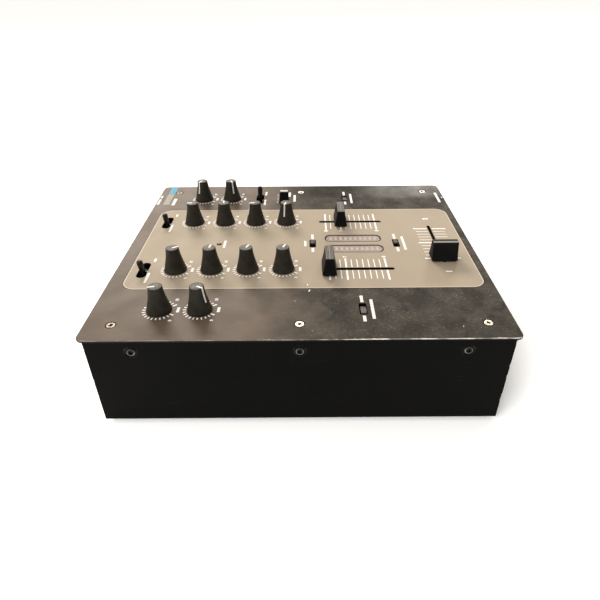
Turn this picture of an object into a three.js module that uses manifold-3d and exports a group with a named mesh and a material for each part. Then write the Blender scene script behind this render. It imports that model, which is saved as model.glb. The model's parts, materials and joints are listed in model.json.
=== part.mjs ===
// A two-channel DJ mixer in a table-top steel case, ten inches wide and eleven deep.
// Millimetres. +X is the player's right, +Y is the rear panel, +Z is up.
// The origin is the centre of the case's underside, and the rubber feet hang below it.

import * as THREE from 'three';
import { mergeVertices } from 'three/addons/utils/BufferGeometryUtils.js';
import Module from 'manifold-3d';

// ---- Driving dimensions ------------------------------------------------------------------

const PLATE_WIDTH = 254;
const PLATE_LENGTH = 279.4;
const PLATE_THICKNESS = 1.6;
const PLATE_CORNER_RADIUS = 5;
const CASE_HEIGHT = 73;
const PLATE_OVERHANG = 3;
const SHEET = 1.2;
const FOOT_HEIGHT = 4;
const FLOOR_BEAD = { x: 150, y: 170, width: 4, depth: 0.4 };
const CLEARANCE = 0.3;

// How far a cutter runs past the faces that it cuts.
const PAST = 1;

const STRIP_X = 94;
const CHANNEL_X = 41.3;
const KNOB_FIRST_Y = 94.2;
const KNOB_PITCH = 27.2;
const FADER_SLOT_Y = -43.9;
const CROSSFADER_Y = -111.5;

// Heights that everything inside the case is built from.
const PLATE_TOP = CASE_HEIGHT;
const PLATE_BOTTOM = PLATE_TOP - PLATE_THICKNESS;
const DECK_BOTTOM = PLATE_BOTTOM - SHEET;
const BOARD_TOP = 52;
const BOARD_THICKNESS = 1.6;

// Half sizes of the shell that hangs below the faceplate's rim.
const SHELL_HALF_X = PLATE_WIDTH / 2 - PLATE_OVERHANG;
const SHELL_HALF_Y = PLATE_LENGTH / 2 - PLATE_OVERHANG;
const DECK_HALF_X = SHELL_HALF_X - SHEET - CLEARANCE;

// How many sides stand for a circle: on shapes that show, and on small or hidden ones.
const ROUND = 18;
const SMALL_ROUND = 12;
const HIDDEN_ROUND = 10;
const HEXAGON = 6;

// ---- Layout of the controls --------------------------------------------------------------

// A knob's pointer is in degrees clockwise from the rear, and its dial runs to 150 each way.
const KNOBS = [
  { name: 'master_level_knob', x: -STRIP_X, column: 0, pointer: -12 },
  { name: 'booth_level_knob', x: -STRIP_X, column: 1, pointer: -150 },
  { name: 'channel_1_gain_knob', x: -CHANNEL_X, column: 0, pointer: 150 },
  { name: 'channel_1_treble_knob', x: -CHANNEL_X, column: 1, pointer: 100 },
  { name: 'channel_1_middle_knob', x: -CHANNEL_X, column: 2, pointer: 115 },
  { name: 'channel_1_bass_knob', x: -CHANNEL_X, column: 3, pointer: 113 },
  { name: 'channel_2_gain_knob', x: CHANNEL_X, column: 0, pointer: 0 },
  { name: 'channel_2_treble_knob', x: CHANNEL_X, column: 1, pointer: 85 },
  { name: 'channel_2_middle_knob', x: CHANNEL_X, column: 2, pointer: -15 },
  { name: 'channel_2_bass_knob', x: CHANNEL_X, column: 3, pointer: -75 },
  { name: 'microphone_level_knob', x: STRIP_X, column: 0, pointer: -60 },
  { name: 'phones_level_knob', x: STRIP_X, column: 1, pointer: -115 },
];

// A toggle leans left or right of upright; side is -1 when it is thrown to the left.
const TOGGLES = [
  { name: 'channel_1_input_toggle', x: -CHANNEL_X, y: 118.5, side: -1 },
  { name: 'channel_2_input_toggle', x: CHANNEL_X, y: 118.5, side: -1 },
  { name: 'cue_select_toggle', x: STRIP_X, y: 39.8, side: 1 },
];

// Sliding controls. axis is the direction of the slot; offset is the cap's place at rest,
// counted from the middle of the slot.
const FADERS = [
  { name: 'channel_1_fader', x: -CHANNEL_X, y: FADER_SLOT_Y, axis: 'y', slot: 55, offset: 22 },
  { name: 'channel_2_fader', x: CHANNEL_X, y: FADER_SLOT_Y, axis: 'y', slot: 55, offset: 8.8 },
  { name: 'crossfader', x: 0, y: CROSSFADER_Y, axis: 'x', slot: 64, offset: -26 },
  { name: 'cue_mix_fader', x: STRIP_X + 1, y: 16, axis: 'x', slot: 31, offset: -10 },
];
const FADER_SLOT_WIDTH = 2.4;
const TOGGLE_SLOT = { x: 22, y: 7 };

// Slide switches travel along X; side is -1 when the button rests at the left end.
const SLIDE_SWITCHES = [
  { name: 'meter_source_switch', x: 0, y: -10.1, side: 1 },
  { name: 'crossfader_reverse_switch', x: 0, y: -78.7, side: 1 },
  { name: 'fader_start_1_switch', x: -STRIP_X, y: -42.5, side: -1 },
  { name: 'fader_start_2_switch', x: STRIP_X, y: -42.5, side: -1 },
];
const SWITCH_HOLE = { x: 12.6, y: 5 };
const SWITCH_BUTTON = { x: 7.6, y: 3.8 };
const SWITCH_TRAVEL = 4.4;

// Level meters lie side by side between the channel faders.
const METERS = [
  { name: 'meter_window_left', x: -9 },
  { name: 'meter_window_right', x: 9 },
];
const METER_SIZE = { x: 12, y: 46.2, corner: 5 };
const METER_FLANGE = 3;

const POWER_LED = { x: 0, y: 67, radius: 1.7, depth: 7, leadSpacing: 2.54, leadThickness: 0.6 };

// Fasteners: three along each side of the faceplate, and three through each side wall.
const FACE_SCREW_X = 110.5;
const FACE_SCREW_Y = 121.7;
const SIDE_SCREW_Y = 107.3;
const SIDE_SCREW_Z = PLATE_TOP - 11.7;
const FACE_SCREW = {
  headRadius: 3,
  shankRadius: 1.5,
  headHeight: 1.4,
  length: 8,
  recess: { width: 3.4, depth: 0.8 },
};
const SIDE_SCREW = {
  headRadius: 2.75,
  shankRadius: 1.6,
  headHeight: 1.5,
  length: 8,
  recess: { width: 2.9, depth: 0.9 },
};
const DIMPLE = { radius: 4.5, floorRadius: 3.4, depth: 0.8 };
const FOOT = { x: 102, y: 116, radius: 8, tipRadius: 7, edge: 1 };

// Rear panel, left to right as the player at the front counts it.
const REAR_AXIS_Z = 40;
const POWER_INLET_X = -106;
const POWER_SWITCH = { x: -84, z: REAR_AXIS_Z, width: 19, height: 12.6 };
const RCA_PITCH = 14;
const RCA_ROWS_Z = [24, REAR_AXIS_Z];
const OUTPUT_JACKS = { name: 'rca_output_block', x: -41, columns: 3 };
const INPUT_JACKS = { name: 'rca_input_block', x: 14, columns: 4 };
const GROUND_POST_X = 56;
const MICROPHONE_JACK_X = 88;

// The phones socket is in the front panel, below the phones level knob.
const PHONES_JACK_X = STRIP_X;

// ---- Parts bought in ---------------------------------------------------------------------

const KNOB = { baseRadius: 8.5, topRadius: 4.75, height: 18.9, gap: 0.5, shaftRadius: 3 };
const KNOB_GROOVE = { start: 0.2, length: 4, width: 0.8, depth: 0.4 };
const POT = { x: 11, y: 12.5, height: 8, shaftDepth: 5 };
const TOGGLE = { pivotDepth: 9, reach: 11.8, lean: 15, ballRadius: 2.4, neck: 1.2, bat: 2.3 };
const TOGGLE_BODY = { x: 20, y: 8, boreDepth: 4.6 };

const CHANNEL_CAP = { base: { x: 23.6, y: 10.9 }, top: { x: 21.6, y: 6.5 }, height: 14.6 };
const CROSS_CAP = { base: { x: 12.6, y: 20.1 }, top: { x: 6.7, y: 19.5 }, height: 15.2 };
const CUE_CAP = { base: { x: 9, y: 9.6 }, top: { x: 4.7, y: 7.7 }, height: 12 };
const CAP_GAP = 1.1;
const CAP_GROOVE = { width: 1, depth: 0.5 };
const STEM = { along: 6, thick: 1.2, depth: 4 };
const TRACK = { width: 11, depth: 10, slotDepth: 6, wall: 3 };

const SWITCH_BODY = { x: 17, y: 8, height: 12, boreX: 11, boreY: 3.2 };
const SWITCH_STEM = { x: 4, y: 2.4, depth: 4 };

const RCA = { cupRadius: 4.2, boreRadius: 1.7, reach: 9, blockDepth: 14, blockMargin: 7 };
const JACK = {
  bushRadius: 4.6, boreRadius: 3.2, boreDepth: 25, nutRadius: 7, nutThickness: 2.4, reach: 3.6,
  bodySize: 16, bodyDepth: 26,
};
const INLET = {
  radius: 5.6, boreRadius: 3, boreDepth: 6, reach: 2, pinRadius: 1, bodyX: 14, bodyZ: 12, bodyDepth: 12,
};
const SWITCH_BEZEL = { lip: 1.5, thickness: 1.8, bodyDepth: 15 };
const ROCKER = { width: 13, height: 9, tilt: 9, pivotDepth: 1, rise: 3.6, dip: 1, fall: 6, taper: 1.5 };
const ROCKER_WELL = { gapX: 0.7, gapZ: 0.5, depth: 11 };
const GROUND = {
  studRadius: 2, reach: 14, tail: 4, washerRadius: 4.6, washerThickness: 1, innerRadius: 4.2,
  innerThickness: 2.5, nutRadius: 5.5, nutStart: 3.4, nutEnd: 10, teeth: 18, knurl: 0.4,
};

// ---- Solids ------------------------------------------------------------------------------

const wasm = await Module();
wasm.setup();

function toSolid(geometry) {
  const bare = geometry.clone();
  bare.deleteAttribute('normal');
  bare.deleteAttribute('uv');
  const merged = mergeVertices(bare);
  return new wasm.Manifold(new wasm.Mesh({
    numProp: 3,
    vertProperties: new Float32Array(merged.attributes.position.array),
    triVerts: new Uint32Array(merged.index.array),
  }));
}

function toGeometry(solid) {
  const mesh = solid.getMesh();
  const geometry = new THREE.BufferGeometry();
  geometry.setAttribute('position', new THREE.BufferAttribute(mesh.vertProperties, 3));
  geometry.setIndex(new THREE.BufferAttribute(mesh.triVerts, 1));
  return geometry;
}

function join(...geometries) {
  const solids = geometries.map(toSolid);
  return toGeometry(solids.reduce((whole, piece) => whole.add(piece)));
}

function cut(geometry, ...tools) {
  const solid = toSolid(geometry);
  return toGeometry(tools.map(toSolid).reduce((whole, tool) => whole.subtract(tool), solid));
}

// A block given by its middle in plan, its size in plan, and its lowest and highest z.
function block(x, y, sizeX, sizeY, low, high) {
  const geometry = new THREE.BoxGeometry(sizeX, sizeY, high - low);
  return geometry.translate(x, y, (low + high) / 2);
}

// An upright cylinder or cone.
function post(x, y, radius, low, high, segments = ROUND, topRadius = radius) {
  const geometry = new THREE.CylinderGeometry(topRadius, radius, high - low, segments);
  return geometry.rotateX(Math.PI / 2).translate(x, y, (low + high) / 2);
}

// A flat slab with a rounded-rectangle outline.
function roundedSlab(x, y, sizeX, sizeY, corner, low, high, cornerSegments = 5) {
  const right = sizeX / 2;
  const rear = sizeY / 2;
  const outline = new THREE.Shape();
  outline.moveTo(corner - right, -rear);
  outline.lineTo(right - corner, -rear);
  outline.absarc(right - corner, corner - rear, corner, -Math.PI / 2, 0);
  outline.lineTo(right, rear - corner);
  outline.absarc(right - corner, rear - corner, corner, 0, Math.PI / 2);
  outline.lineTo(corner - right, rear);
  outline.absarc(corner - right, rear - corner, corner, Math.PI / 2, Math.PI);
  outline.lineTo(-right, corner - rear);
  outline.absarc(corner - right, corner - rear, corner, Math.PI, Math.PI * 1.5);
  const geometry = new THREE.ExtrudeGeometry(outline, {
    depth: high - low,
    bevelEnabled: false,
    curveSegments: cornerSegments,
  });
  return geometry.translate(x, y, low);
}

// A slot with round ends, for cutting.
function roundSlot(x, y, sizeX, sizeY, low, high) {
  const endCorner = Math.min(sizeX, sizeY) / 2 - 0.01;
  return roundedSlab(x, y, sizeX, sizeY, endCorner, low, high, 3);
}

// A solid of revolution about z from [radius, height] pairs that start and end on the axis.
function turned(profile, segments = ROUND) {
  const points = profile.map(([radius, height]) => new THREE.Vector2(radius, height));
  return new THREE.LatheGeometry(points, segments).rotateX(Math.PI / 2);
}

// A block that narrows towards its top, with slightly hollow flanks.
function taperedCap(base, top, low, high) {
  const rings = 3;
  const flankHollow = 0.12;
  const geometry = new THREE.BoxGeometry(1, 1, 1, 1, 1, rings);
  const position = geometry.attributes.position;
  for (let i = 0; i < position.count; i += 1) {
    const rise = position.getZ(i) + 0.5;
    const narrowing = rise + flankHollow * Math.sin(Math.PI * rise);
    position.setXYZ(
      i,
      position.getX(i) * THREE.MathUtils.lerp(base.x, top.x, narrowing),
      position.getY(i) * THREE.MathUtils.lerp(base.y, top.y, narrowing),
      THREE.MathUtils.lerp(low, high, rise),
    );
  }
  return geometry;
}

// ---- Assembly ----------------------------------------------------------------------------

const mixer = new THREE.Group();

const FINISHES = {
  blackPaint: { color: 0x35322f, roughness: 0.55, metalness: 0.3 },
  casePaint: { color: 0x151515, roughness: 0.6, metalness: 0.3 },
  zincSteel: { color: 0x9a9a96, roughness: 0.4, metalness: 0.9 },
  blackSteel: { color: 0x141414, roughness: 0.35, metalness: 0.8 },
  rubber: { color: 0x1b1b1b, roughness: 0.9, metalness: 0 },
  blackPlastic: { color: 0x17161a, roughness: 0.5, metalness: 0 },
  greyPlastic: { color: 0x6d6964, roughness: 0.5, metalness: 0 },
  meterAcrylic: { color: 0xb49f93, roughness: 0.25, metalness: 0 },
  ledRed: { color: 0x6b2a1c, roughness: 0.3, metalness: 0 },
  circuitBoard: { color: 0x2f5a38, roughness: 0.6, metalness: 0 },
  nickel: { color: 0xc8c6bf, roughness: 0.25, metalness: 1 },
  brass: { color: 0xb9974e, roughness: 0.35, metalness: 1 },
};

function add(name, geometry, finish, parent = mixer) {
  const mesh = new THREE.Mesh(geometry, new THREE.MeshStandardMaterial(FINISHES[finish]));
  mesh.name = name;
  parent.add(mesh);
  return mesh;
}

const knobY = (column) => KNOB_FIRST_Y - column * KNOB_PITCH;

// ---- Sheet metal -------------------------------------------------------------------------

const faceScrewPlaces = [];
for (const x of [-FACE_SCREW_X, FACE_SCREW_X]) {
  for (const y of [FACE_SCREW_Y, 0, -FACE_SCREW_Y]) {
    faceScrewPlaces.push({ x, y });
  }
}

const sideScrewPlaces = [];
for (const side of [-1, 1]) {
  for (const y of [SIDE_SCREW_Y, 0, -SIDE_SCREW_Y]) {
    sideScrewPlaces.push({ side, y });
  }
}

// Openings that faceplate and deck share. makeSlot cuts the slots, and grow widens all of
// them in the hidden deck.
function controlOpenings(low, high, makeSlot, grow) {
  const openings = [];
  for (const knob of KNOBS) {
    const radius = KNOB.shaftRadius + 2 * CLEARANCE + grow;
    openings.push(post(knob.x, knobY(knob.column), radius, low, high, HIDDEN_ROUND));
  }
  for (const { x, y } of TOGGLES) {
    openings.push(makeSlot(x, y, TOGGLE_SLOT.x + grow, TOGGLE_SLOT.y + grow, low, high));
  }
  for (const { x, y, axis, slot } of FADERS) {
    const [sizeX, sizeY] = plan(axis, slot + grow, FADER_SLOT_WIDTH + grow);
    openings.push(makeSlot(x, y, sizeX, sizeY, low, high));
  }
  for (const { x, y } of SLIDE_SWITCHES) {
    openings.push(block(x, y, SWITCH_HOLE.x + grow, SWITCH_HOLE.y + grow, low, high));
  }
  const ledHole = POWER_LED.radius + CLEARANCE + grow;
  openings.push(post(POWER_LED.x, POWER_LED.y, ledHole, low, high, SMALL_ROUND));
  return openings;
}

function makeFaceplate() {
  const plate = roundedSlab(
    0, 0, PLATE_WIDTH, PLATE_LENGTH, PLATE_CORNER_RADIUS, PLATE_BOTTOM, PLATE_TOP, 6,
  );
  const low = PLATE_BOTTOM - PAST;
  const high = PLATE_TOP + PAST;
  const windows = METERS.map((meter) => roundedSlab(
    meter.x, FADER_SLOT_Y,
    METER_SIZE.x + 2 * CLEARANCE, METER_SIZE.y + 2 * CLEARANCE, METER_SIZE.corner, low, high,
  ));
  const shank = FACE_SCREW.shankRadius + CLEARANCE;
  const mouth = FACE_SCREW.headRadius + CLEARANCE;
  const holeBottom = low - PLATE_TOP;
  const countersink = [
    [0, holeBottom],
    [shank, holeBottom],
    [shank, -FACE_SCREW.headHeight],
    [mouth, 0],
    [mouth, PAST],
    [0, PAST],
  ];
  const screwHoles = faceScrewPlaces.map(({ x, y }) => (
    turned(countersink, SMALL_ROUND).translate(x, y, PLATE_TOP)
  ));
  return cut(plate, ...controlOpenings(low, high, roundSlot, 0), ...windows, ...screwHoles);
}

// The deck is the chassis: a top under the faceplate, front and rear panels folded down,
// and a flange along each side that takes the side screws.
function makeDeck() {
  const wallY = SHELL_HALF_Y - SHEET / 2;
  const flangeX = DECK_HALF_X - SHEET / 2;
  const flangeBelowScrew = 7;
  const flangeLow = SIDE_SCREW_Z - flangeBelowScrew;
  const wallLow = SHEET + CLEARANCE;
  const shelf = 14;
  const parts = [block(0, 0, 2 * DECK_HALF_X, 2 * SHELL_HALF_Y, DECK_BOTTOM, PLATE_BOTTOM)];
  for (const side of [-1, 1]) {
    parts.push(block(0, side * wallY, 2 * DECK_HALF_X, SHEET, wallLow, PLATE_BOTTOM));
    const shelfY = side * (SHELL_HALF_Y - shelf / 2);
    parts.push(block(0, shelfY, 2 * DECK_HALF_X, shelf, wallLow, wallLow + SHEET));
    parts.push(block(side * flangeX, 0, SHEET, 2 * SHELL_HALF_Y, flangeLow, PLATE_BOTTOM));
  }
  const low = DECK_BOTTOM - PAST;
  const high = PLATE_BOTTOM + PAST;
  const widening = 2;
  const windowX = METER_SIZE.x + METER_FLANGE + 2 * CLEARANCE;
  const windowY = METER_SIZE.y + METER_FLANGE + 2 * CLEARANCE;
  const through = 3 * SHEET;
  const openings = [
    ...controlOpenings(low, high, block, widening),
    ...METERS.map((meter) => block(meter.x, FADER_SLOT_Y, windowX, windowY, low, high)),
    ...faceScrewPlaces.map(({ x, y }) => (
      post(x, y, FACE_SCREW.shankRadius + CLEARANCE, low, high, HIDDEN_ROUND)
    )),
    ...sideScrewPlaces.map(({ side, y }) => (
      crossPost(side * flangeX, y, SIDE_SCREW_Z, SIDE_SCREW.shankRadius + CLEARANCE, through)
    )),
    ...rearOpenings(through),
    wallPost(PHONES_JACK_X, -wallY, REAR_AXIS_Z, JACK.bushRadius + CLEARANCE, through),
  ];
  return cut(join(...parts), ...openings);
}

// A cylinder along x, centred on a point.
function crossPost(x, y, z, radius, length, segments = HIDDEN_ROUND) {
  const geometry = new THREE.CylinderGeometry(radius, radius, length, segments);
  return geometry.rotateZ(Math.PI / 2).translate(x, y, z);
}

// A cylinder along y, centred on a point.
function wallPost(x, y, z, radius, length, segments = ROUND) {
  const geometry = new THREE.CylinderGeometry(radius, radius, length, segments);
  return geometry.translate(x, y, z);
}

// The bottom shell is a tray: the floor, stiffened by a shallow bead pressed round its
// middle, and the two long side walls.
function makeShell() {
  const trough = block(
    0, 0, 2 * (SHELL_HALF_X - SHEET), 2 * (SHELL_HALF_Y + PAST), SHEET, PLATE_BOTTOM + PAST,
  );
  const body = block(0, 0, 2 * SHELL_HALF_X, 2 * SHELL_HALF_Y, 0, PLATE_BOTTOM);
  const { x, y, width, depth } = FLOOR_BEAD;
  const bead = cut(
    block(0, 0, x, y, -PAST, depth),
    block(0, 0, x - 2 * width, y - 2 * width, -2 * PAST, depth + PAST),
  );
  const shank = SIDE_SCREW.shankRadius + CLEARANCE;
  const holeBottom = -SHEET - PAST;
  const dimpledHole = [
    [0, holeBottom],
    [shank, holeBottom],
    [shank, -DIMPLE.depth],
    [DIMPLE.floorRadius, -DIMPLE.depth],
    [DIMPLE.radius, 0],
    [DIMPLE.radius, PAST],
    [0, PAST],
  ];
  const holes = [];
  for (const { side, y } of sideScrewPlaces) {
    const outer = side * SHELL_HALF_X;
    const hole = turned(dimpledHole, ROUND).rotateY(side * Math.PI / 2);
    holes.push(hole.translate(outer, y, SIDE_SCREW_Z));
  }
  return cut(body, trough, bead, ...holes);
}

// ---- Fasteners and feet ------------------------------------------------------------------

// A cross recess pressed into the top of a screw head whose face is at z = 0.
function crossRecess({ width, depth }) {
  const arm = width / 4.5;
  return [block(0, 0, width, arm, -depth, PAST), block(0, 0, arm, width, -depth, PAST)];
}

function makeFaceScrew() {
  const { headRadius, shankRadius, headHeight, length } = FACE_SCREW;
  const profile = [
    [0, -length],
    [shankRadius, -length],
    [shankRadius, -headHeight],
    [headRadius, 0],
    [0, 0],
  ];
  return cut(turned(profile, SMALL_ROUND), ...crossRecess(FACE_SCREW.recess));
}

function makeSideScrew() {
  const { headRadius, shankRadius, headHeight, length } = SIDE_SCREW;
  const profile = [
    [0, -headHeight - length],
    [shankRadius, -headHeight - length],
    [shankRadius, -headHeight],
    [headRadius, -headHeight],
    [headRadius, -0.5 * headHeight],
    [0.7 * headRadius, 0],
    [0, 0],
  ];
  return cut(turned(profile, SMALL_ROUND), ...crossRecess(SIDE_SCREW.recess));
}

function addScrews() {
  const faceSink = 0.05;
  const sideGap = 0.1;
  faceScrewPlaces.forEach(({ x, y }, index) => {
    const screw = add(`face_screw_${index + 1}`, makeFaceScrew(), 'nickel');
    screw.position.set(x, y, PLATE_TOP - faceSink);
  });
  sideScrewPlaces.forEach(({ side, y }, index) => {
    const screw = add(`side_screw_${index + 1}`, makeSideScrew(), 'blackSteel');
    const seat = SHELL_HALF_X - DIMPLE.depth + sideGap;
    screw.position.set(side * (seat + SIDE_SCREW.headHeight), y, SIDE_SCREW_Z);
    screw.rotation.y = side * Math.PI / 2;
  });
}

function addFeet() {
  const profile = [
    [0, -FOOT_HEIGHT],
    [FOOT.tipRadius, -FOOT_HEIGHT],
    [FOOT.radius, -FOOT.edge],
    [FOOT.radius, 0],
    [0, 0],
  ];
  for (const [end, y] of [['front', -FOOT.y], ['rear', FOOT.y]]) {
    for (const [hand, x] of [['left', -FOOT.x], ['right', FOOT.x]]) {
      const foot = add(`foot_${end}_${hand}`, turned(profile), 'rubber');
      foot.position.set(x, y, 0);
    }
  }
}

// ---- Knobs and toggles -------------------------------------------------------------------

// A knob on its pot's shaft: a flared body, hollow-flanked like a skittle, with a groove
// across the top from the middle to the rim that carries the pointer.
function makeKnob() {
  const { baseRadius, topRadius, height, gap, shaftRadius } = KNOB;
  const shaftEnd = BOARD_TOP + POT.height - POT.shaftDepth + CLEARANCE - PLATE_TOP;
  const profile = [
    [0, shaftEnd],
    [shaftRadius, shaftEnd],
    [shaftRadius, gap],
    [baseRadius, gap],
  ];
  const flareRings = 3;
  const flareCurve = 1.5;
  const lip = 0.9;
  const topEdge = 0.5;
  for (let ring = 0; ring <= flareRings; ring += 1) {
    const rise = ring / flareRings;
    const radius = topRadius + (baseRadius - topRadius) * (1 - rise) ** flareCurve;
    profile.push([radius, THREE.MathUtils.lerp(gap + lip, height - topEdge, rise)]);
  }
  profile.push([topRadius - topEdge, height], [0, height]);
  const { start, length, width, depth } = KNOB_GROOVE;
  const groove = block(0, start + length / 2, width, length, height - depth, height + PAST);
  return cut(turned(profile), groove);
}

function addKnobs() {
  for (const knob of KNOBS) {
    const mesh = add(knob.name, makeKnob(), 'blackPlastic');
    mesh.position.set(knob.x, knobY(knob.column), PLATE_TOP);
    mesh.rotation.z = -THREE.MathUtils.degToRad(knob.pointer);
  }
}

// A bat lever turned about its own axis, with its pivot ball at the origin.
function makeToggleLever() {
  const { pivotDepth, reach, ballRadius, neck, bat } = TOGGLE;
  const tip = pivotDepth + reach;
  const crown = 0.6 * bat;
  const profile = [
    [0, -ballRadius],
    [0.75 * ballRadius, -0.66 * ballRadius],
    [ballRadius, 0],
    [0.75 * ballRadius, 0.66 * ballRadius],
    [neck, 0.85 * ballRadius],
    [1.25 * neck, 0.9 * pivotDepth],
    [bat, tip - 2.5 * crown],
    [bat, tip - crown],
    [0.6 * bat, tip - 0.2 * crown],
    [0, tip],
  ];
  return turned(profile, SMALL_ROUND);
}

function addToggles() {
  for (const { name, x, y, side } of TOGGLES) {
    const lever = add(name, makeToggleLever(), 'blackPlastic');
    lever.position.set(x, y, PLATE_TOP - TOGGLE.pivotDepth);
    lever.rotation.y = side * THREE.MathUtils.degToRad(TOGGLE.lean);
  }
}

// ---- Faders and slide switches -----------------------------------------------------------

const capOf = {
  channel_1_fader: CHANNEL_CAP,
  channel_2_fader: CHANNEL_CAP,
  crossfader: CROSS_CAP,
  cue_mix_fader: CUE_CAP,
};

// A size in plan given along and across a fader's slot, turned into x and y.
function plan(axis, along, across) {
  return axis === 'x' ? [along, across] : [across, along];
}

// A cap with its thumb groove across the top, on the flat steel stem that drives the wiper.
function makeFaderCap(cap, axis) {
  const body = taperedCap(cap.base, cap.top, CAP_GAP, cap.height);
  const across = cap.base.x + cap.base.y;
  const [grooveX, grooveY] = plan(axis, CAP_GROOVE.width, across);
  const grooveLow = cap.height - CAP_GROOVE.depth;
  const groove = block(0, 0, grooveX, grooveY, grooveLow, cap.height + PAST);
  const [stemX, stemY] = plan(axis, STEM.along, STEM.thick);
  const stemEnd = DECK_BOTTOM - STEM.depth - PLATE_TOP;
  return join(cut(body, groove), block(0, 0, stemX, stemY, stemEnd, 2 * CAP_GAP));
}

// The fader's body: a steel-cased channel under the deck with the stem's slot along its top.
function makeFaderTrack(axis, slotLength) {
  const length = slotLength + 2 * TRACK.wall;
  const [bodyX, bodyY] = plan(axis, length, TRACK.width);
  const [slotX, slotY] = plan(axis, slotLength, STEM.thick + 1);
  const body = block(0, 0, bodyX, bodyY, -TRACK.depth, 0);
  return cut(body, block(0, 0, slotX, slotY, -TRACK.slotDepth, PAST));
}

function addFaders() {
  for (const { name, x, y, axis, slot, offset } of FADERS) {
    const cap = add(`${name}_cap`, makeFaderCap(capOf[name], axis), 'blackPlastic');
    const [offsetX, offsetY] = plan(axis, offset, 0);
    cap.position.set(x + offsetX, y + offsetY, PLATE_TOP);
    const track = add(`${name}_track`, makeFaderTrack(axis, slot), 'zincSteel');
    track.position.set(x, y, DECK_BOTTOM);
  }
}

// A slide switch's button: the finger block, standing on a stem that enters the switch body.
function makeSwitchButton() {
  const proud = 0.9;
  const shoulder = 3;
  const notch = { width: 1, depth: 0.4 };
  const overlap = 0.5;
  const stemEnd = BOARD_TOP + SWITCH_BODY.height - SWITCH_STEM.depth - PLATE_TOP;
  const finger = block(0, 0, SWITCH_BUTTON.x, SWITCH_BUTTON.y, -shoulder, proud);
  const stem = block(0, 0, SWITCH_STEM.x, SWITCH_STEM.y, stemEnd, overlap - shoulder);
  const across = SWITCH_BUTTON.y + PAST;
  return cut(
    join(finger, stem),
    block(0, 0, notch.width, across, proud - notch.depth, proud + PAST),
  );
}

function addSlideSwitches() {
  for (const { name, x, y, side } of SLIDE_SWITCHES) {
    const button = add(`${name}_button`, makeSwitchButton(), 'greyPlastic');
    button.position.set(x + side * SWITCH_TRAVEL / 2, y, PLATE_TOP);
  }
}

// ---- Meters and lamp ---------------------------------------------------------------------

// A meter's acrylic window: the part that shows, on a wider flange held from behind.
function makeMeterWindow() {
  const sink = 0.2;
  const flangeTop = PLATE_BOTTOM - PLATE_TOP - 0.1;
  const flangeBottom = flangeTop - 1.4;
  const visible = roundedSlab(
    0, 0, METER_SIZE.x, METER_SIZE.y, METER_SIZE.corner - CLEARANCE, flangeBottom, -sink,
  );
  const flangeX = METER_SIZE.x + METER_FLANGE;
  const flangeY = METER_SIZE.y + METER_FLANGE;
  return join(visible, block(0, 0, flangeX, flangeY, flangeBottom, flangeTop));
}

function addMeters() {
  for (const { name, x } of METERS) {
    add(name, makeMeterWindow(), 'meterAcrylic').position.set(x, FADER_SLOT_Y, PLATE_TOP);
  }
}

// The lamp: a domed body with its two leads reaching down to the control board.
function addPowerLed() {
  const { x, y, radius, depth, leadSpacing, leadThickness } = POWER_LED;
  const rim = { extra: 0.3, height: 1 };
  const crown = 0.9;
  const profile = [
    [0, -depth],
    [radius + rim.extra, -depth],
    [radius + rim.extra, rim.height - depth],
    [radius, rim.height - depth],
    [radius, crown - 0.75 * radius],
    [0.7 * radius, crown - 0.25 * radius],
    [0, crown],
  ];
  const leadLow = BOARD_TOP - PLATE_TOP;
  const leadTop = rim.height / 2 - depth;
  const leads = [-leadSpacing / 2, leadSpacing / 2].map((lead) => (
    block(lead, 0, leadThickness, leadThickness, leadLow, leadTop)
  ));
  const lamp = add('power_led', join(turned(profile, SMALL_ROUND), ...leads), 'ledRed');
  lamp.position.set(x, y, PLATE_TOP);
}

// ---- Inside the case ---------------------------------------------------------------------

const BOARD = { y: 19, width: 224, length: 218 };
const POWER_BOARD = {
  x: -78,
  y: 74,
  width: 70,
  length: 60,
  top: 12,
  spacer: { x: 28, y: 24, radius: 3 },
  transformer: { x: -12, y: 8, width: 34, length: 28, top: 36 },
  heatSink: { x: 24, y: 10, width: 6, length: 26, top: 32 },
  capacitor: { firstX: -26, pitch: 14, y: -18, radius: 5, top: 28 },
};

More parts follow.
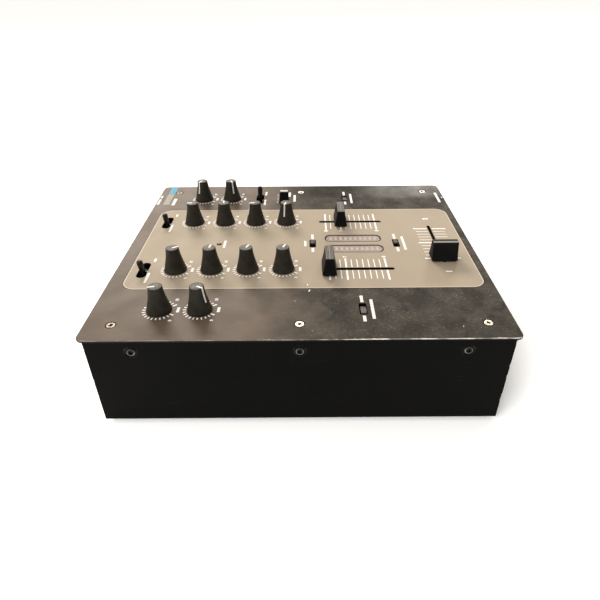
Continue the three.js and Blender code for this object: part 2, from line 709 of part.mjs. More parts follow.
// The control board carries the pots, the toggle bodies and the slide switch bodies, and
// has an opening that the lamp's leads pass through.
function makeControlBoard() {
  const boardBottom = BOARD_TOP - BOARD_THICKNESS;
  const seat = BOARD_TOP - BOARD_THICKNESS / 2;
  const board = block(0, BOARD.y, BOARD.width, BOARD.length, boardBottom, BOARD_TOP);
  const bodies = [];
  const bores = [];
  for (const knob of KNOBS) {
    const y = knobY(knob.column);
    const top = BOARD_TOP + POT.height;
    bodies.push(block(knob.x, y, POT.x, POT.y, seat, top));
    const bore = KNOB.shaftRadius + CLEARANCE;
    bores.push(post(knob.x, y, bore, top - POT.shaftDepth, top + PAST, HIDDEN_ROUND));
  }
  const socket = TOGGLE.ballRadius + 2.7 * CLEARANCE;
  const socketTop = PLATE_TOP - TOGGLE.pivotDepth + 0.6 * TOGGLE.ballRadius;
  const socketBottom = socketTop - TOGGLE_BODY.boreDepth;
  for (const { x, y } of TOGGLES) {
    bodies.push(block(x, y, TOGGLE_BODY.x, TOGGLE_BODY.y, seat, socketTop));
    bores.push(post(x, y, socket, socketBottom, socketTop + PAST, SMALL_ROUND));
  }
  const switchTop = BOARD_TOP + SWITCH_BODY.height;
  const switchBore = switchTop - SWITCH_STEM.depth - CLEARANCE;
  for (const { x, y } of SLIDE_SWITCHES) {
    const { boreX, boreY } = SWITCH_BODY;
    bodies.push(block(x, y, SWITCH_BODY.x, SWITCH_BODY.y, seat, switchTop));
    bores.push(block(x, y, boreX, boreY, switchBore, switchTop + PAST));
  }
  const leadOpeningX = 2 * POWER_LED.leadSpacing;
  const leadOpeningY = 5 * POWER_LED.leadThickness;
  const leadOpening = block(
    POWER_LED.x, POWER_LED.y, leadOpeningX, leadOpeningY, boardBottom - PAST, BOARD_TOP + PAST,
  );
  return cut(join(board, ...bodies), ...bores, leadOpening);
}

// The supply board, on four spacers that stand on the shell's floor: a transformer, three
// capacitors in a row and a regulator's heat sink.
function makePowerBoard() {
  const { width, length, top, spacer, transformer, heatSink, capacitor } = POWER_BOARD;
  const seat = top - BOARD_THICKNESS / 2;
  const board = block(0, 0, width, length, top - BOARD_THICKNESS, top);
  const parts = [
    block(transformer.x, transformer.y, transformer.width, transformer.length, seat, transformer.top),
    block(heatSink.x, heatSink.y, heatSink.width, heatSink.length, seat, heatSink.top),
  ];
  for (const x of [-spacer.x, spacer.x]) {
    for (const y of [-spacer.y, spacer.y]) {
      parts.push(post(x, y, spacer.radius, SHEET, seat, HIDDEN_ROUND));
    }
  }
  for (const step of [0, 1, 2]) {
    const x = capacitor.firstX + step * capacitor.pitch;
    parts.push(post(x, capacitor.y, capacitor.radius, seat, capacitor.top, HIDDEN_ROUND));
  }
  return join(board, ...parts);
}

function addBoards() {
  add('control_board', makeControlBoard(), 'circuitBoard');
  const supply = add('power_board', makePowerBoard(), 'circuitBoard');
  supply.position.set(POWER_BOARD.x, POWER_BOARD.y, 0);
}

// ---- Rear and front connectors -----------------------------------------------------------

// Sockets are made with the panel's outer face at y = 0, and their bodies start behind it.
const SOCKET_BACK = -SHEET - CLEARANCE;

function rcaPlaces({ x, columns }) {
  const places = [];
  for (let column = 0; column < columns; column += 1) {
    for (const z of RCA_ROWS_Z) {
      places.push({ x: x + (column - (columns - 1) / 2) * RCA_PITCH, z });
    }
  }
  return places;
}

function rearOpenings(depth) {
  const y = SHELL_HALF_Y - SHEET / 2;
  const { x, z, width, height } = POWER_SWITCH;
  const switchHalf = height / 2 + CLEARANCE;
  const studHole = GROUND.studRadius + CLEARANCE;
  return [
    ...[...rcaPlaces(OUTPUT_JACKS), ...rcaPlaces(INPUT_JACKS)].map((place) => (
      wallPost(place.x, y, place.z, RCA.cupRadius + CLEARANCE, depth, HIDDEN_ROUND)
    )),
    wallPost(MICROPHONE_JACK_X, y, REAR_AXIS_Z, JACK.bushRadius + CLEARANCE, depth),
    wallPost(POWER_INLET_X, y, REAR_AXIS_Z, INLET.radius + CLEARANCE, depth),
    wallPost(GROUND_POST_X, y, REAR_AXIS_Z, studHole, depth, HIDDEN_ROUND),
    block(x, y, width + 2 * CLEARANCE, depth, z - switchHalf, z + switchHalf),
  ];
}

// A cylinder along y from the panel's inside, or from a given depth, to a given reach.
function socketPost(x, z, radius, reach, from, segments) {
  return wallPost(x, (reach + from) / 2, z, radius, reach - from, segments);
}

// Phono sockets in one moulded block: cups through the panel, and the block behind it.
function makeRcaBlock({ columns }) {
  const places = rcaPlaces({ x: 0, columns });
  const [lowRow, highRow] = RCA_ROWS_Z;
  const { cupRadius, boreRadius, reach, blockDepth, blockMargin } = RCA;
  const boreSides = 8;
  const body = block(
    0, SOCKET_BACK - blockDepth / 2, columns * RCA_PITCH, blockDepth,
    lowRow - blockMargin, highRow + blockMargin,
  );
  const cups = places.map(({ x, z }) => (
    socketPost(x, z, cupRadius, reach, SOCKET_BACK - PAST, SMALL_ROUND)
  ));
  const bores = places.map(({ x, z }) => (
    socketPost(x, z, boreRadius, reach + PAST, 0, boreSides)
  ));
  return cut(join(body, ...cups), ...bores);
}

// A quarter-inch socket: box behind the panel, threaded bush through it and a nut outside.
function makeJack() {
  const { bushRadius, boreRadius, boreDepth, nutRadius, nutThickness, reach } = JACK;
  const { bodySize, bodyDepth } = JACK;
  const body = block(
    0, SOCKET_BACK - bodyDepth / 2, bodySize, bodyDepth, -bodySize / 2, bodySize / 2,
  );
  const bush = socketPost(0, 0, bushRadius, reach, SOCKET_BACK - PAST);
  const nut = socketPost(0, 0, nutRadius, CLEARANCE + nutThickness, CLEARANCE, HEXAGON);
  const bore = socketPost(0, 0, boreRadius, reach + PAST, -boreDepth);
  return cut(join(body, bush, nut), bore);
}

function addJacks() {
  for (const jacks of [OUTPUT_JACKS, INPUT_JACKS]) {
    add(jacks.name, makeRcaBlock(jacks), 'nickel').position.set(jacks.x, SHELL_HALF_Y, 0);
  }
  const microphone = add('microphone_jack', makeJack(), 'nickel');
  microphone.position.set(MICROPHONE_JACK_X, SHELL_HALF_Y, REAR_AXIS_Z);
  const phones = add('phones_jack', makeJack(), 'nickel');
  phones.position.set(PHONES_JACK_X, -SHELL_HALF_Y, REAR_AXIS_Z);
  phones.rotation.z = Math.PI;
}

// The power inlet: a barrel socket with its centre pin left standing in the bore.
function addPowerInlet() {
  const { radius, boreRadius, boreDepth, reach, pinRadius, bodyX, bodyZ, bodyDepth } = INLET;
  const body = block(0, SOCKET_BACK - bodyDepth / 2, bodyX, bodyDepth, -bodyZ / 2, bodyZ / 2);
  const barrel = socketPost(0, 0, radius, reach, SOCKET_BACK - PAST);
  const bore = socketPost(0, 0, boreRadius, reach + PAST, -boreDepth, SMALL_ROUND);
  const pin = socketPost(0, 0, pinRadius, reach / 2, -boreDepth - PAST, HIDDEN_ROUND);
  const inlet = add('power_inlet', join(cut(join(body, barrel), bore), pin), 'blackPlastic');
  inlet.position.set(POWER_INLET_X, SHELL_HALF_Y, REAR_AXIS_Z);
}

// The power switch: a snap-in body with a bezel, and a rocker that tilts in its well.
function addPowerSwitch() {
  const { x, z, width, height } = POWER_SWITCH;
  const { lip, thickness, bodyDepth } = SWITCH_BEZEL;
  const bezelY = CLEARANCE + thickness / 2;
  const bezelHalf = height / 2 + lip;
  const bezel = block(0, bezelY, width + 2 * lip, thickness, -bezelHalf, bezelHalf);
  const bodyY = (CLEARANCE + thickness / 2 - bodyDepth) / 2;
  const bodyLength = bodyDepth + CLEARANCE + thickness / 2;
  const body = block(0, bodyY, width, bodyLength, -height / 2, height / 2);
  const wellReach = CLEARANCE + thickness + PAST;
  const wellY = (wellReach - ROCKER_WELL.depth) / 2;
  const wellX = ROCKER.width + 2 * ROCKER_WELL.gapX;
  const wellHalf = ROCKER.height / 2 + ROCKER_WELL.gapZ;
  const well = block(0, wellY, wellX, wellReach + ROCKER_WELL.depth, -wellHalf, wellHalf);
  const frame = add('power_switch_body', cut(join(bezel, body), well), 'blackPlastic');
  frame.position.set(x, SHELL_HALF_Y, z);

  const face = new THREE.Shape();
  const half = ROCKER.width / 2;
  face.moveTo(ROCKER.taper - half, -ROCKER.fall);
  face.lineTo(half - ROCKER.taper, -ROCKER.fall);
  face.lineTo(half, ROCKER.rise);
  face.lineTo(0, ROCKER.rise - ROCKER.dip);
  face.lineTo(-half, ROCKER.rise);
  face.closePath();
  const rocker = new THREE.ExtrudeGeometry(face, { depth: ROCKER.height, bevelEnabled: false });
  rocker.translate(0, 0, -ROCKER.height / 2);
  const mesh = add('power_rocker', rocker, 'blackPlastic');
  mesh.position.set(x, SHELL_HALF_Y - ROCKER.pivotDepth, z);
  mesh.rotation.z = THREE.MathUtils.degToRad(ROCKER.tilt);
}

// The ground terminal: a brass stud through the panel, and a knurled thumb nut on it.
function addGroundPost() {
  const { studRadius, reach, tail, washerRadius, washerThickness, teeth, knurl } = GROUND;
  const { innerRadius, innerThickness, nutRadius, nutStart, nutEnd } = GROUND;
  const stud = socketPost(0, 0, studRadius, reach, SOCKET_BACK - tail, SMALL_ROUND);
  const washerEnd = CLEARANCE + washerThickness;
  const washer = socketPost(0, 0, washerRadius, washerEnd, CLEARANCE, SMALL_ROUND);
  const innerStart = SOCKET_BACK - innerThickness;
  const inner = socketPost(0, 0, innerRadius, SOCKET_BACK, innerStart, HEXAGON);
  const terminal = add('ground_post', join(stud, washer, inner), 'brass');
  terminal.position.set(GROUND_POST_X, SHELL_HALF_Y, REAR_AXIS_Z);

  const outline = new THREE.Shape();
  for (let step = 0; step < 2 * teeth; step += 1) {
    const angle = Math.PI * step / teeth;
    const radius = step % 2 ? nutRadius : nutRadius - knurl;
    outline.lineTo(radius * Math.cos(angle), radius * Math.sin(angle));
  }
  const nut = new THREE.ExtrudeGeometry(outline, { depth: nutEnd - nutStart, bevelEnabled: false });
  nut.rotateX(-Math.PI / 2).translate(0, nutStart, 0);
  const boreRadius = studRadius + CLEARANCE / 2;
  const bore = socketPost(0, 0, boreRadius, nutEnd + PAST, nutStart - PAST, SMALL_ROUND);
  const mesh = add('ground_nut', cut(nut, bore), 'nickel');
  mesh.position.set(GROUND_POST_X, SHELL_HALF_Y, REAR_AXIS_Z);
}

// ---- Build -------------------------------------------------------------------------------

add('faceplate', makeFaceplate(), 'blackPaint');
add('deck_frame', makeDeck(), 'casePaint');
add('bottom_shell', makeShell(), 'casePaint');
addScrews();
addFeet();
addKnobs();
addToggles();
addFaders();
addSlideSwitches();
addMeters();
addPowerLed();
addBoards();
addJacks();
addPowerInlet();
addPowerSwitch();
addGroundPost();

export default mixer;
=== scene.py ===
"""The looks of a two-channel DJ mixer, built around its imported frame.

+X is the player's right, +Y the rear panel and +Z up, as in the frame. Sizes and places are in
millimetres until a mesh or a piece is made. Only the floor and the lights are given in metres.
"""
import json
import math
import random

import bmesh
import bpy
from mathutils import Matrix, Vector


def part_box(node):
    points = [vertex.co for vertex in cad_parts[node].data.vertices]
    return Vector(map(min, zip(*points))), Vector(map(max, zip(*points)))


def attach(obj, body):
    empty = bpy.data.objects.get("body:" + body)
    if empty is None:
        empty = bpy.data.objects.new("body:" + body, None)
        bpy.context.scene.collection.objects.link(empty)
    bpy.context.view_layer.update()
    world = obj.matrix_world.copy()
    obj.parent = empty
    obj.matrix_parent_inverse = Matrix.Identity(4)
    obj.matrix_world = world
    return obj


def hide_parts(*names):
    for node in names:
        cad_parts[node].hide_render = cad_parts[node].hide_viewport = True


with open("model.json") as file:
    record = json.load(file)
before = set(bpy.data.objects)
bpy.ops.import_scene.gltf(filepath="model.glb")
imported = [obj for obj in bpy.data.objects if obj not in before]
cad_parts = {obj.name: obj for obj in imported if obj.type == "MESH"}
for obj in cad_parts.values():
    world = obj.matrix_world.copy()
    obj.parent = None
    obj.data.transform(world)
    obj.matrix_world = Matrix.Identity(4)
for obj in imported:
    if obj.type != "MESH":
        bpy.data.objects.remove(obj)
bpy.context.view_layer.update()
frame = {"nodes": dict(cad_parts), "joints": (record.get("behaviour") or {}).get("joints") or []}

# ---- Sizes ----

MM = 0.001
CASE = "case"


def box(node):
    """The lowest and highest corners of a CAD node."""
    return [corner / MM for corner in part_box(node)]


def middle(node):
    low, high = box(node)
    return (low + high) / 2


def size(node):
    low, high = box(node)
    return high - low


plate_low, plate_high = box("faceplate")
shell_high = box("bottom_shell")[1]
PLATE_TOP = plate_high.z
PLATE_BOTTOM = plate_low.z
FLOOR_Z = box("foot_front_left")[0].z
PLATE_CORNER = 5

# The printed panel that surrounds the two channels.
PANEL_HALF_X = 67.6
PANEL_FRONT_Y = -133.4
PANEL_REAR_Y = 128.4
PANEL_CORNER = 10
PANEL_LINE = 0.7

INK = 0.04

# ---- Materials ----


def connect(tree, value, socket):
    """Feeds a socket from a node's output, or sets it to a plain number or colour."""
    value = getattr(value, "socket", value)
    if isinstance(value, bpy.types.NodeSocket):
        tree.links.new(value, socket)
    elif socket.type == "RGBA":
        socket.default_value = (*value, 1)
    else:
        socket.default_value = value


def add_node(tree, kind, inputs=None, **settings):
    made = tree.nodes.new(kind)
    for key, value in settings.items():
        setattr(made, key, value)
    for socket, value in (inputs or {}).items():
        connect(tree, value, made.inputs[socket])
    return made


def math_node(operation, swapped=False):
    """A method that joins a value with another one by a math node."""
    def join(self, other=0.0):
        first, second = (other, self) if swapped else (self, other)
        made = add_node(self.tree, "ShaderNodeMath", {0: first, 1: second}, operation=operation)
        return Value(self.tree, made.outputs[0])
    return join


class Value:
    """A number that varies over a surface, and is added and compared as a plain one is."""

    def __init__(self, tree, socket):
        self.tree = tree
        self.socket = socket

    __add__ = math_node("ADD")
    __sub__ = math_node("SUBTRACT")
    __rsub__ = math_node("SUBTRACT", swapped=True)
    __mul__ = math_node("MULTIPLY")
    __gt__ = math_node("GREATER_THAN")
    __lt__ = math_node("LESS_THAN")
    __abs__ = math_node("ABSOLUTE")
    at_least = math_node("MAXIMUM")
    at_most = math_node("MINIMUM")
    root = math_node("SQRT")
    sine = math_node("SINE")

    def ramp(self, low, high, to_low=0.0, to_high=1.0):
        """Rescales low..high to to_low..to_high, and holds it there beyond."""
        made = add_node(self.tree, "ShaderNodeMapRange", {
            "Value": self, "From Min": low, "From Max": high, "To Min": to_low, "To Max": to_high})
        return Value(self.tree, made.outputs[0])


class Paint:
    """A procedural material. Its textures are read at the object's own place, in millimetres."""

    def __init__(self, name):
        self.material = bpy.data.materials.new(name)
        self.material.use_nodes = True
        self.tree = self.material.node_tree
        metres = self.node("ShaderNodeTexCoord").outputs["Object"]
        scale = self.node("ShaderNodeVectorMath", {0: metres}, operation="SCALE")
        scale.inputs["Scale"].default_value = 1 / MM
        self.place = scale.outputs[0]

    def node(self, kind, inputs=None, **settings):
        return add_node(self.tree, kind, inputs, **settings)

    def axes(self, vector=None):
        split = self.node("ShaderNodeSeparateXYZ", {0: vector or self.place})
        return [Value(self.tree, output) for output in split.outputs]

    def radius(self):
        """Distance from the object's own Z axis."""
        x, y, _ = self.axes()
        return (x * x + y * y).root()

    def normal_height(self):
        """How far the surface faces up, from -1 to 1."""
        return self.axes(self.node("ShaderNodeNewGeometry").outputs["Normal"])[2]

    def stretched(self, stretch, turned=0.0):
        """The place, turned about Z and squeezed along each axis, for streaks."""
        return self.node("ShaderNodeMapping", {
            "Vector": self.place, "Rotation": (0, 0, turned), "Scale": stretch}).outputs[0]

    def noise(self, grain, detail=3.0, place=None):
        """Smooth noise from 0 to 1 whose blotches are about grain millimetres across."""
        made = self.node("ShaderNodeTexNoise", {
            "Vector": place or self.place, "Scale": 1 / grain, "Detail": detail})
        return Value(self.tree, made.outputs["Fac"])

    def specks(self, spacing, radius, place=None):
        """1 inside small dots scattered about spacing millimetres apart, else 0."""
        cells = self.node("ShaderNodeTexVoronoi", {"Vector": place or self.place, "Scale": 1 / spacing})
        return Value(self.tree, cells.outputs["Distance"]) < radius / spacing

    def mix(self, factor, a, b):
        """A mix of two colours."""
        return self.node("ShaderNodeMix", {"Factor": factor, 6: a, 7: b}, data_type="RGBA").outputs[2]

    def blend(self, factor, a, b):
        """A mix of two numbers."""
        made = self.node("ShaderNodeMix", {"Factor": factor, 2: a, 3: b}, data_type="FLOAT")
        return Value(self.tree, made.outputs[0])

    def box_distance(self, half_x, low_y, high_y, corner):
        """Distance from a rounded rectangle in plan; negative inside it."""
        x, y, _ = self.axes()
        from_x = abs(x) - (half_x - corner)
        from_y = abs(y - (low_y + high_y) / 2) - ((high_y - low_y) / 2 - corner)
        out_x = from_x.at_least(0)
        out_y = from_y.at_least(0)
        inside = from_x.at_least(from_y).at_most(0)
        return (out_x * out_x + out_y * out_y).root() + inside - corner

    def finish(self, colour, roughness, specular=0.5, metallic=0.0, bump=None, depth=0.0, extra=None):
        """Fills in the shader. A bump of 1 stands depth millimetres proud."""
        looks = {"Base Color": colour, "Roughness": roughness, "Metallic": metallic,
                 "Specular IOR Level": specular, **(extra or {})}
        if bump is not None:
            looks["Normal"] = self.node("ShaderNodeBump", {
                "Height": bump, "Strength": 1.0, "Distance": depth * MM}).outputs[0]
        shader = self.tree.nodes["Principled BSDF"]
        for socket, value in looks.items():
            connect(self.tree, value, shader.inputs[socket])
        return self.material


# The rear colour is lighter than the paint itself, a painted sheen; the grubby colour is for the front.
CHARCOAL_WITH_SHEEN = (0.119, 0.083, 0.057)
CHARCOAL_GRUBBY = (0.056, 0.049, 0.040)
PANEL_GREY = (0.352, 0.292, 0.219)
PANEL_GREY_PALE = (0.388, 0.320, 0.240)
# Pale rim colour: scraped metal and a painted highlight.
BARE_METAL_AND_HIGHLIGHT = (0.85, 0.82, 0.77)


def charcoal_coat(paint, handled_vs_sheen, smudge, grain):
    """The charcoal field: lighter at the rear as a painted sheen, grubby at the front where hands rub it,
    smeared, hazed, a little dusty, and with painted shade at the far middle.
    """
    x, y, _ = paint.axes()
    # Painted sheen: the rear colour is lighter, the front colour is grubby and darker.
    colour = paint.mix(handled_vs_sheen, CHARCOAL_WITH_SHEEN, CHARCOAL_GRUBBY)
    blotch = smudge.ramp(0.42, 0.60) * handled_vs_sheen.ramp(0, 1, 0.15, 0.95)
    colour = paint.mix(blotch, colour, (0.030, 0.029, 0.024))
    fold = abs(paint.noise(30, 0.5) - 0.5)
    smear = fold.ramp(0.05, 0.0) * paint.noise(44, 1).ramp(0.48, 0.56) * handled_vs_sheen
    colour = paint.mix(smear * 0.85, colour, (0.014, 0.013, 0.011))
    colour = paint.mix(grain.ramp(0.35, 0.7, 0, 0.35), colour, (0.090, 0.078, 0.064))
    haze = paint.noise(2.2, 6).ramp(0.50, 0.72) * smudge.ramp(0.62, 0.40, 0.2, 1)
    colour = paint.mix(haze * handled_vs_sheen.ramp(0, 1, 0.15, 0.55), colour, (0.135, 0.125, 0.105))
    # Painted shade: the middle of the far strip is darkened for the dark room it reflects.
    far_painted_shade = x.ramp(92, 104) * abs(y + 20).ramp(65, 25)
    return paint.mix(far_painted_shade * 0.6, colour, (0.014, 0.012, 0.009))


def dust_flecks(paint):
    """Pale crumbs far apart, and finer dust in drifts."""
    flat = paint.stretched((1, 1, 0))
    fine = paint.specks(2.3, 0.22, flat) * paint.noise(16).ramp(0.48, 0.6)
    return paint.specks(14, 0.42, flat).at_least(fine * 0.5)


def bare_edge_and_highlight(paint):
    """1 where the plate's rim is pale, scraped to bare metal and with a painted highlight on the arris: a
    thin line at the left, chips elsewhere.
    """
    x, y, z = paint.axes()
    rim = paint.box_distance(plate_high.x, plate_low.y, plate_high.y, PLATE_CORNER)
    near = x.ramp(plate_low.x + 2, plate_low.x + 1)
    # The line widens towards the front, as a painted highlight.
    thin_line = paint.noise(30, 3).ramp(0.35, 0.6, 0.16, 0.30) + y.ramp(-25, -50, 0.0, 0.40)
    chipped = paint.noise(7, 6).ramp(0.60, 0.70, 0.0, 0.7)
    return (rim + (paint.blend(near, -0.5, thin_line) + chipped) > 0) * (z > PLATE_TOP - 0.30)


def faceplate_paint():
    """Charcoal paint with a painted sheen at the rear and painted shade at the far middle, a warm grey
    printed panel, a pale border, and a near edge that is scraped and carries a painted highlight.
    """
    paint = Paint("plate_paint")
    x, y, z = paint.axes()
    panel = paint.box_distance(PANEL_HALF_X, PANEL_FRONT_Y, PANEL_REAR_Y, PANEL_CORNER)
    smudge = paint.noise(18, 5)
    cloud = paint.noise(60, 3)
    grain = paint.noise(0.5, 2)
    # 0 at the rear, where the colour carries a painted sheen, to 1 at the grubby front.
    handled_vs_sheen = (y + cloud.ramp(0.3, 0.7, -18, 18)).ramp(28, -24)
    charcoal = charcoal_coat(paint, handled_vs_sheen, smudge, grain)

    panel_grey = paint.mix(cloud.ramp(0.35, 0.65), PANEL_GREY, PANEL_GREY_PALE)
    panel_grey = paint.mix(grain.ramp(0.3, 0.7, 0, 0.3), panel_grey, (0.32, 0.26, 0.19))
    in_panel = panel.ramp(0.06, -0.06)
    dark_line = panel.ramp(0.4, 0.55) * panel.ramp(1.6, 0.9)
    colour = paint.mix(in_panel, charcoal, panel_grey)
    colour = paint.mix(dark_line * 0.55, colour, (0.02, 0.018, 0.015))
    colour = paint.mix(abs(panel) < PANEL_LINE / 2, colour, (0.60, 0.52, 0.42))

    streaks = paint.noise(1.0, 5, paint.stretched((0.9, 0.035, 1), math.radians(35)))
    scratch = streaks.ramp(0.70, 0.74) * paint.noise(30).ramp(0.52, 0.62)
    colour = paint.mix(scratch * 0.3, colour, (0.36, 0.32, 0.27))
    flecks = dust_flecks(paint) * (1 - in_panel) * handled_vs_sheen.ramp(0, 1, 0.3, 1)
    colour = paint.mix(flecks, colour, (0.78, 0.75, 0.69))

    # The pale rim is scraped metal and a painted highlight along the arris.
    worn = bare_edge_and_highlight(paint)
    colour = paint.mix(z < PLATE_TOP - 0.03, colour, (0.009, 0.008, 0.007))
    # Brighter towards the front: a painted highlight.
    bright = paint.noise(12, 4).ramp(0.4, 0.6) * y.ramp(20, -30, 0.3, 1)
    colour = paint.mix(worn, colour, paint.mix(bright, (0.22, 0.205, 0.18), BARE_METAL_AND_HIGHLIGHT))

    sheen = paint.blend(handled_vs_sheen, smudge.ramp(0.3, 0.7, 0.46, 0.52), smudge.ramp(0.3, 0.7, 0.54, 0.70))
    sheen = paint.blend(in_panel, sheen, smudge.ramp(0.3, 0.7, 0.56, 0.64))
    far_corner = x.ramp(92, 112) * y.ramp(-50, -100)
    gloss = paint.blend(far_corner, paint.blend(handled_vs_sheen, 0.115, 0.04), 0.62)
    return paint.finish(colour, paint.blend(worn, sheen, 0.4), paint.blend(in_panel, gloss, 0.12),
                        bump=grain + scratch * -0.5, depth=0.010)


def case_paint():
    """Black textured paint on the shell, scuffed, and chipped along the bottom corners."""
    paint = Paint("case_paint")
    cloud = paint.noise(30, 4)
    texture = paint.noise(0.55, 2)
    streaks = paint.noise(1.0, 5, paint.stretched((0.05, 0.05, 0.6), 0.4))
    scuff = streaks.ramp(0.66, 0.72) * paint.noise(24).ramp(0.5, 0.62)
    colour = paint.mix(cloud.ramp(0.3, 0.7), (0.0022, 0.0023, 0.0019), (0.0038, 0.0037, 0.0031))
    colour = paint.mix(texture.ramp(0.5, 0.8, 0, 0.5), colour, (0.0075, 0.0073, 0.0067))
    colour = paint.mix(scuff * 0.3, colour, (0.05, 0.046, 0.04))
    colour = paint.mix(paint.specks(11, 0.18) * 0.3, colour, (0.2, 0.19, 0.175))

    x, y, z = paint.axes()
    corner = abs(y) - shell_high.y + (abs(x) - shell_high.x)
    chipped = paint.noise(5, 6).ramp(0.50, 0.60, -0.3, 0.45)
    worn = (corner + chipped > 0) * (z > 1)
    colour = paint.mix(worn, colour, (0.45, 0.43, 0.40))
    return paint.finish(colour, cloud.ramp(0.3, 0.7, 0.42, 0.56), 0.035, worn * 0.9, texture, 0.03)


def moulded(name, colour, dusty, roughness, grain=0.35, depth=0.01, specular=0.4):
    """Moulded plastic or rubber: fine grain, a little dust and uneven sheen."""
    paint = Paint(name)
    texture = paint.noise(grain, 2)
    cloud = paint.noise(5, 4)
    shade = paint.mix(cloud.ramp(0.35, 0.75), colour, dusty)
    shade = paint.mix(texture.ramp(0.55, 0.85, 0, 0.5), shade, dusty)
    shade = paint.mix(paint.specks(2.6, 0.09) * 0.35, shade, (0.32, 0.30, 0.27))
    sheen = cloud.ramp(0.3, 0.7, roughness - 0.07, roughness + 0.08)
    return paint.finish(shade, sheen, specular, bump=texture, depth=depth)


def metal(name, colour, tarnish, roughness, recess=None):
    """Plated or bare metal with fine turning marks and dull blotches.

    recess is a height below which the piece is near black and not metallic.
    """
    paint = Paint(name)
    cloud = paint.noise(2.2, 4)
    fine = paint.noise(0.6, 3, paint.stretched((0.3, 0.3, 6)))
    shade = paint.mix(cloud.ramp(0.42, 0.72), colour, tarnish)
    clean = 1.0
    if recess is not None:
        # Below the recess height the piece is near black and not metallic.
        below_recess = paint.axes()[2].ramp(recess, recess - 0.15)
        shade = paint.mix(below_recess, shade, (0.004, 0.004, 0.003))
        clean = 1 - below_recess
    sheen = cloud.ramp(0.3, 0.7, roughness - 0.06, roughness + 0.16)
    return paint.finish(shade, sheen, metallic=clean, bump=fine, depth=0.006)


def rim_wear_and_highlight(name, ring, bare, facing, least):
    """Black plating or paint, with a pale ring about the piece's own axis that is rubbed metal and a
    painted highlight.

    ring is where the pale ring starts, is full and ends, as radii. facing is the height of the
    surface's normal where the ring is least and full: a painted highlight on one side.
    """
    paint = Paint(name)
    radius = paint.radius()
    start, full, end = ring
    worn = radius.ramp(start, full) * radius.ramp(end, end - 0.1)
    worn = worn * paint.noise(1.6, 3).ramp(0.3, 0.6, 0.45, 1)
    # Painted highlight: the ring is brighter where the surface faces the given way.
    worn = worn * paint.normal_height().ramp(*facing, least, 1)
    colour = paint.mix(worn, (0.006, 0.006, 0.005), bare)
    return paint.finish(colour, paint.blend(worn, 0.5, 0.3), 0.12, worn)


def knob_cap_grey():
    """The grey disc on a knob: spun rings about the knob's own axis, with a paler rim that is a painted
    highlight.
    """
    paint = Paint("knob_top_grey")
    radius = paint.radius()
    rings = (radius * (2 * math.pi / 0.32)).sine().ramp(-1, 1)
    cloud = paint.noise(2.4, 4)
    shade = paint.mix(cloud.ramp(0.38, 0.66), (0.125, 0.117, 0.104), (0.060, 0.056, 0.049))
    shade = paint.mix(rings * 0.2, shade, (0.17, 0.158, 0.142))
    # Paler rim: a painted highlight on the disc's edge.
    shade = paint.mix(radius.ramp(3.5, 3.9), shade, (0.22, 0.207, 0.185))
    return paint.finish(shade, cloud.ramp(0.3, 0.7, 0.48, 0.62), 0.2, bump=rings, depth=0.012)


def ink(name, colour):
    """Screen-printed ink, thin in places and a little yellowed."""
    paint = Paint(name)
    thin = paint.noise(0.8, 4)
    aged = tuple(channel * share for channel, share in zip(colour, (0.86, 0.82, 0.74)))
    shade = paint.mix(thin.ramp(0.45, 0.75), colour, aged)
    return paint.finish(shade, thin.ramp(0.3, 0.7, 0.48, 0.62), 0.15, bump=thin, depth=0.004)


def acrylic():
    """Smoky pale-brown acrylic, lightly scratched."""
    paint = Paint("meter_acrylic")
    hairline = paint.noise(0.8, 4, paint.stretched((1, 0.04, 1)))
    shade = paint.mix(paint.noise(6, 4).ramp(0.3, 0.7), (0.32, 0.262, 0.225), (0.275, 0.222, 0.19))
    return paint.finish(shade, hairline.ramp(0.5, 0.75, 0.24, 0.40), bump=hairline, depth=0.004,
                        extra={"Coat Weight": 0.15})


def circuit_board():
    """Green solder resist with copper lands, and grey component bodies above it."""
    paint = Paint("circuit_board")
    lands = paint.specks(3.2, 0.8)
    resist = paint.mix(paint.noise(8), (0.015, 0.075, 0.03), (0.03, 0.11, 0.045))
    resist = paint.mix(lands, resist, (0.55, 0.45, 0.22))
    body = paint.mix(paint.noise(2), (0.09, 0.09, 0.092), (0.16, 0.155, 0.15))
    is_body = paint.axes()[2] > box("control_board")[1].z - 15
    shade = paint.mix(is_body, resist, body)
    return paint.finish(shade, paint.noise(3).ramp(0.3, 0.7, 0.35, 0.55), bump=lands, depth=0.03)


def light_floor():
    """A white sweep, with a trace of unevenness."""
    paint = Paint("floor")
    cloud = paint.noise(400, 3)
    shade = paint.mix(cloud, (0.94, 0.94, 0.935), (0.92, 0.92, 0.918))
    return paint.finish(shade, cloud.ramp(0.3, 0.7, 0.7, 0.8), 0.0, extra={"Emission Strength": 0.12})


PLATE_PAINT = faceplate_paint()
CASE_PAINT = case_paint()
KNOB_BLACK = moulded("knob_black", (0.0185, 0.0162, 0.0110), (0.038, 0.033, 0.024), 0.58, specular=0.25)
KNOB_GREY = knob_cap_grey()
LEVER_BLACK = moulded("lever_black", (0.005, 0.0047, 0.0042), (0.010, 0.0094, 0.0085), 0.32, 0.6,
                      specular=0.3)
CAP_BLACK = moulded("cap_black", (0.0045, 0.0042, 0.0038), (0.010, 0.0093, 0.0085), 0.55, specular=0.12)
CAP_GREY = moulded("cap_grey", (0.075, 0.068, 0.060), (0.12, 0.110, 0.098), 0.50, specular=0.22)
CAP_DARK = moulded("cap_dark", (0.035, 0.033, 0.030), (0.06, 0.056, 0.050), 0.55, specular=0.12)
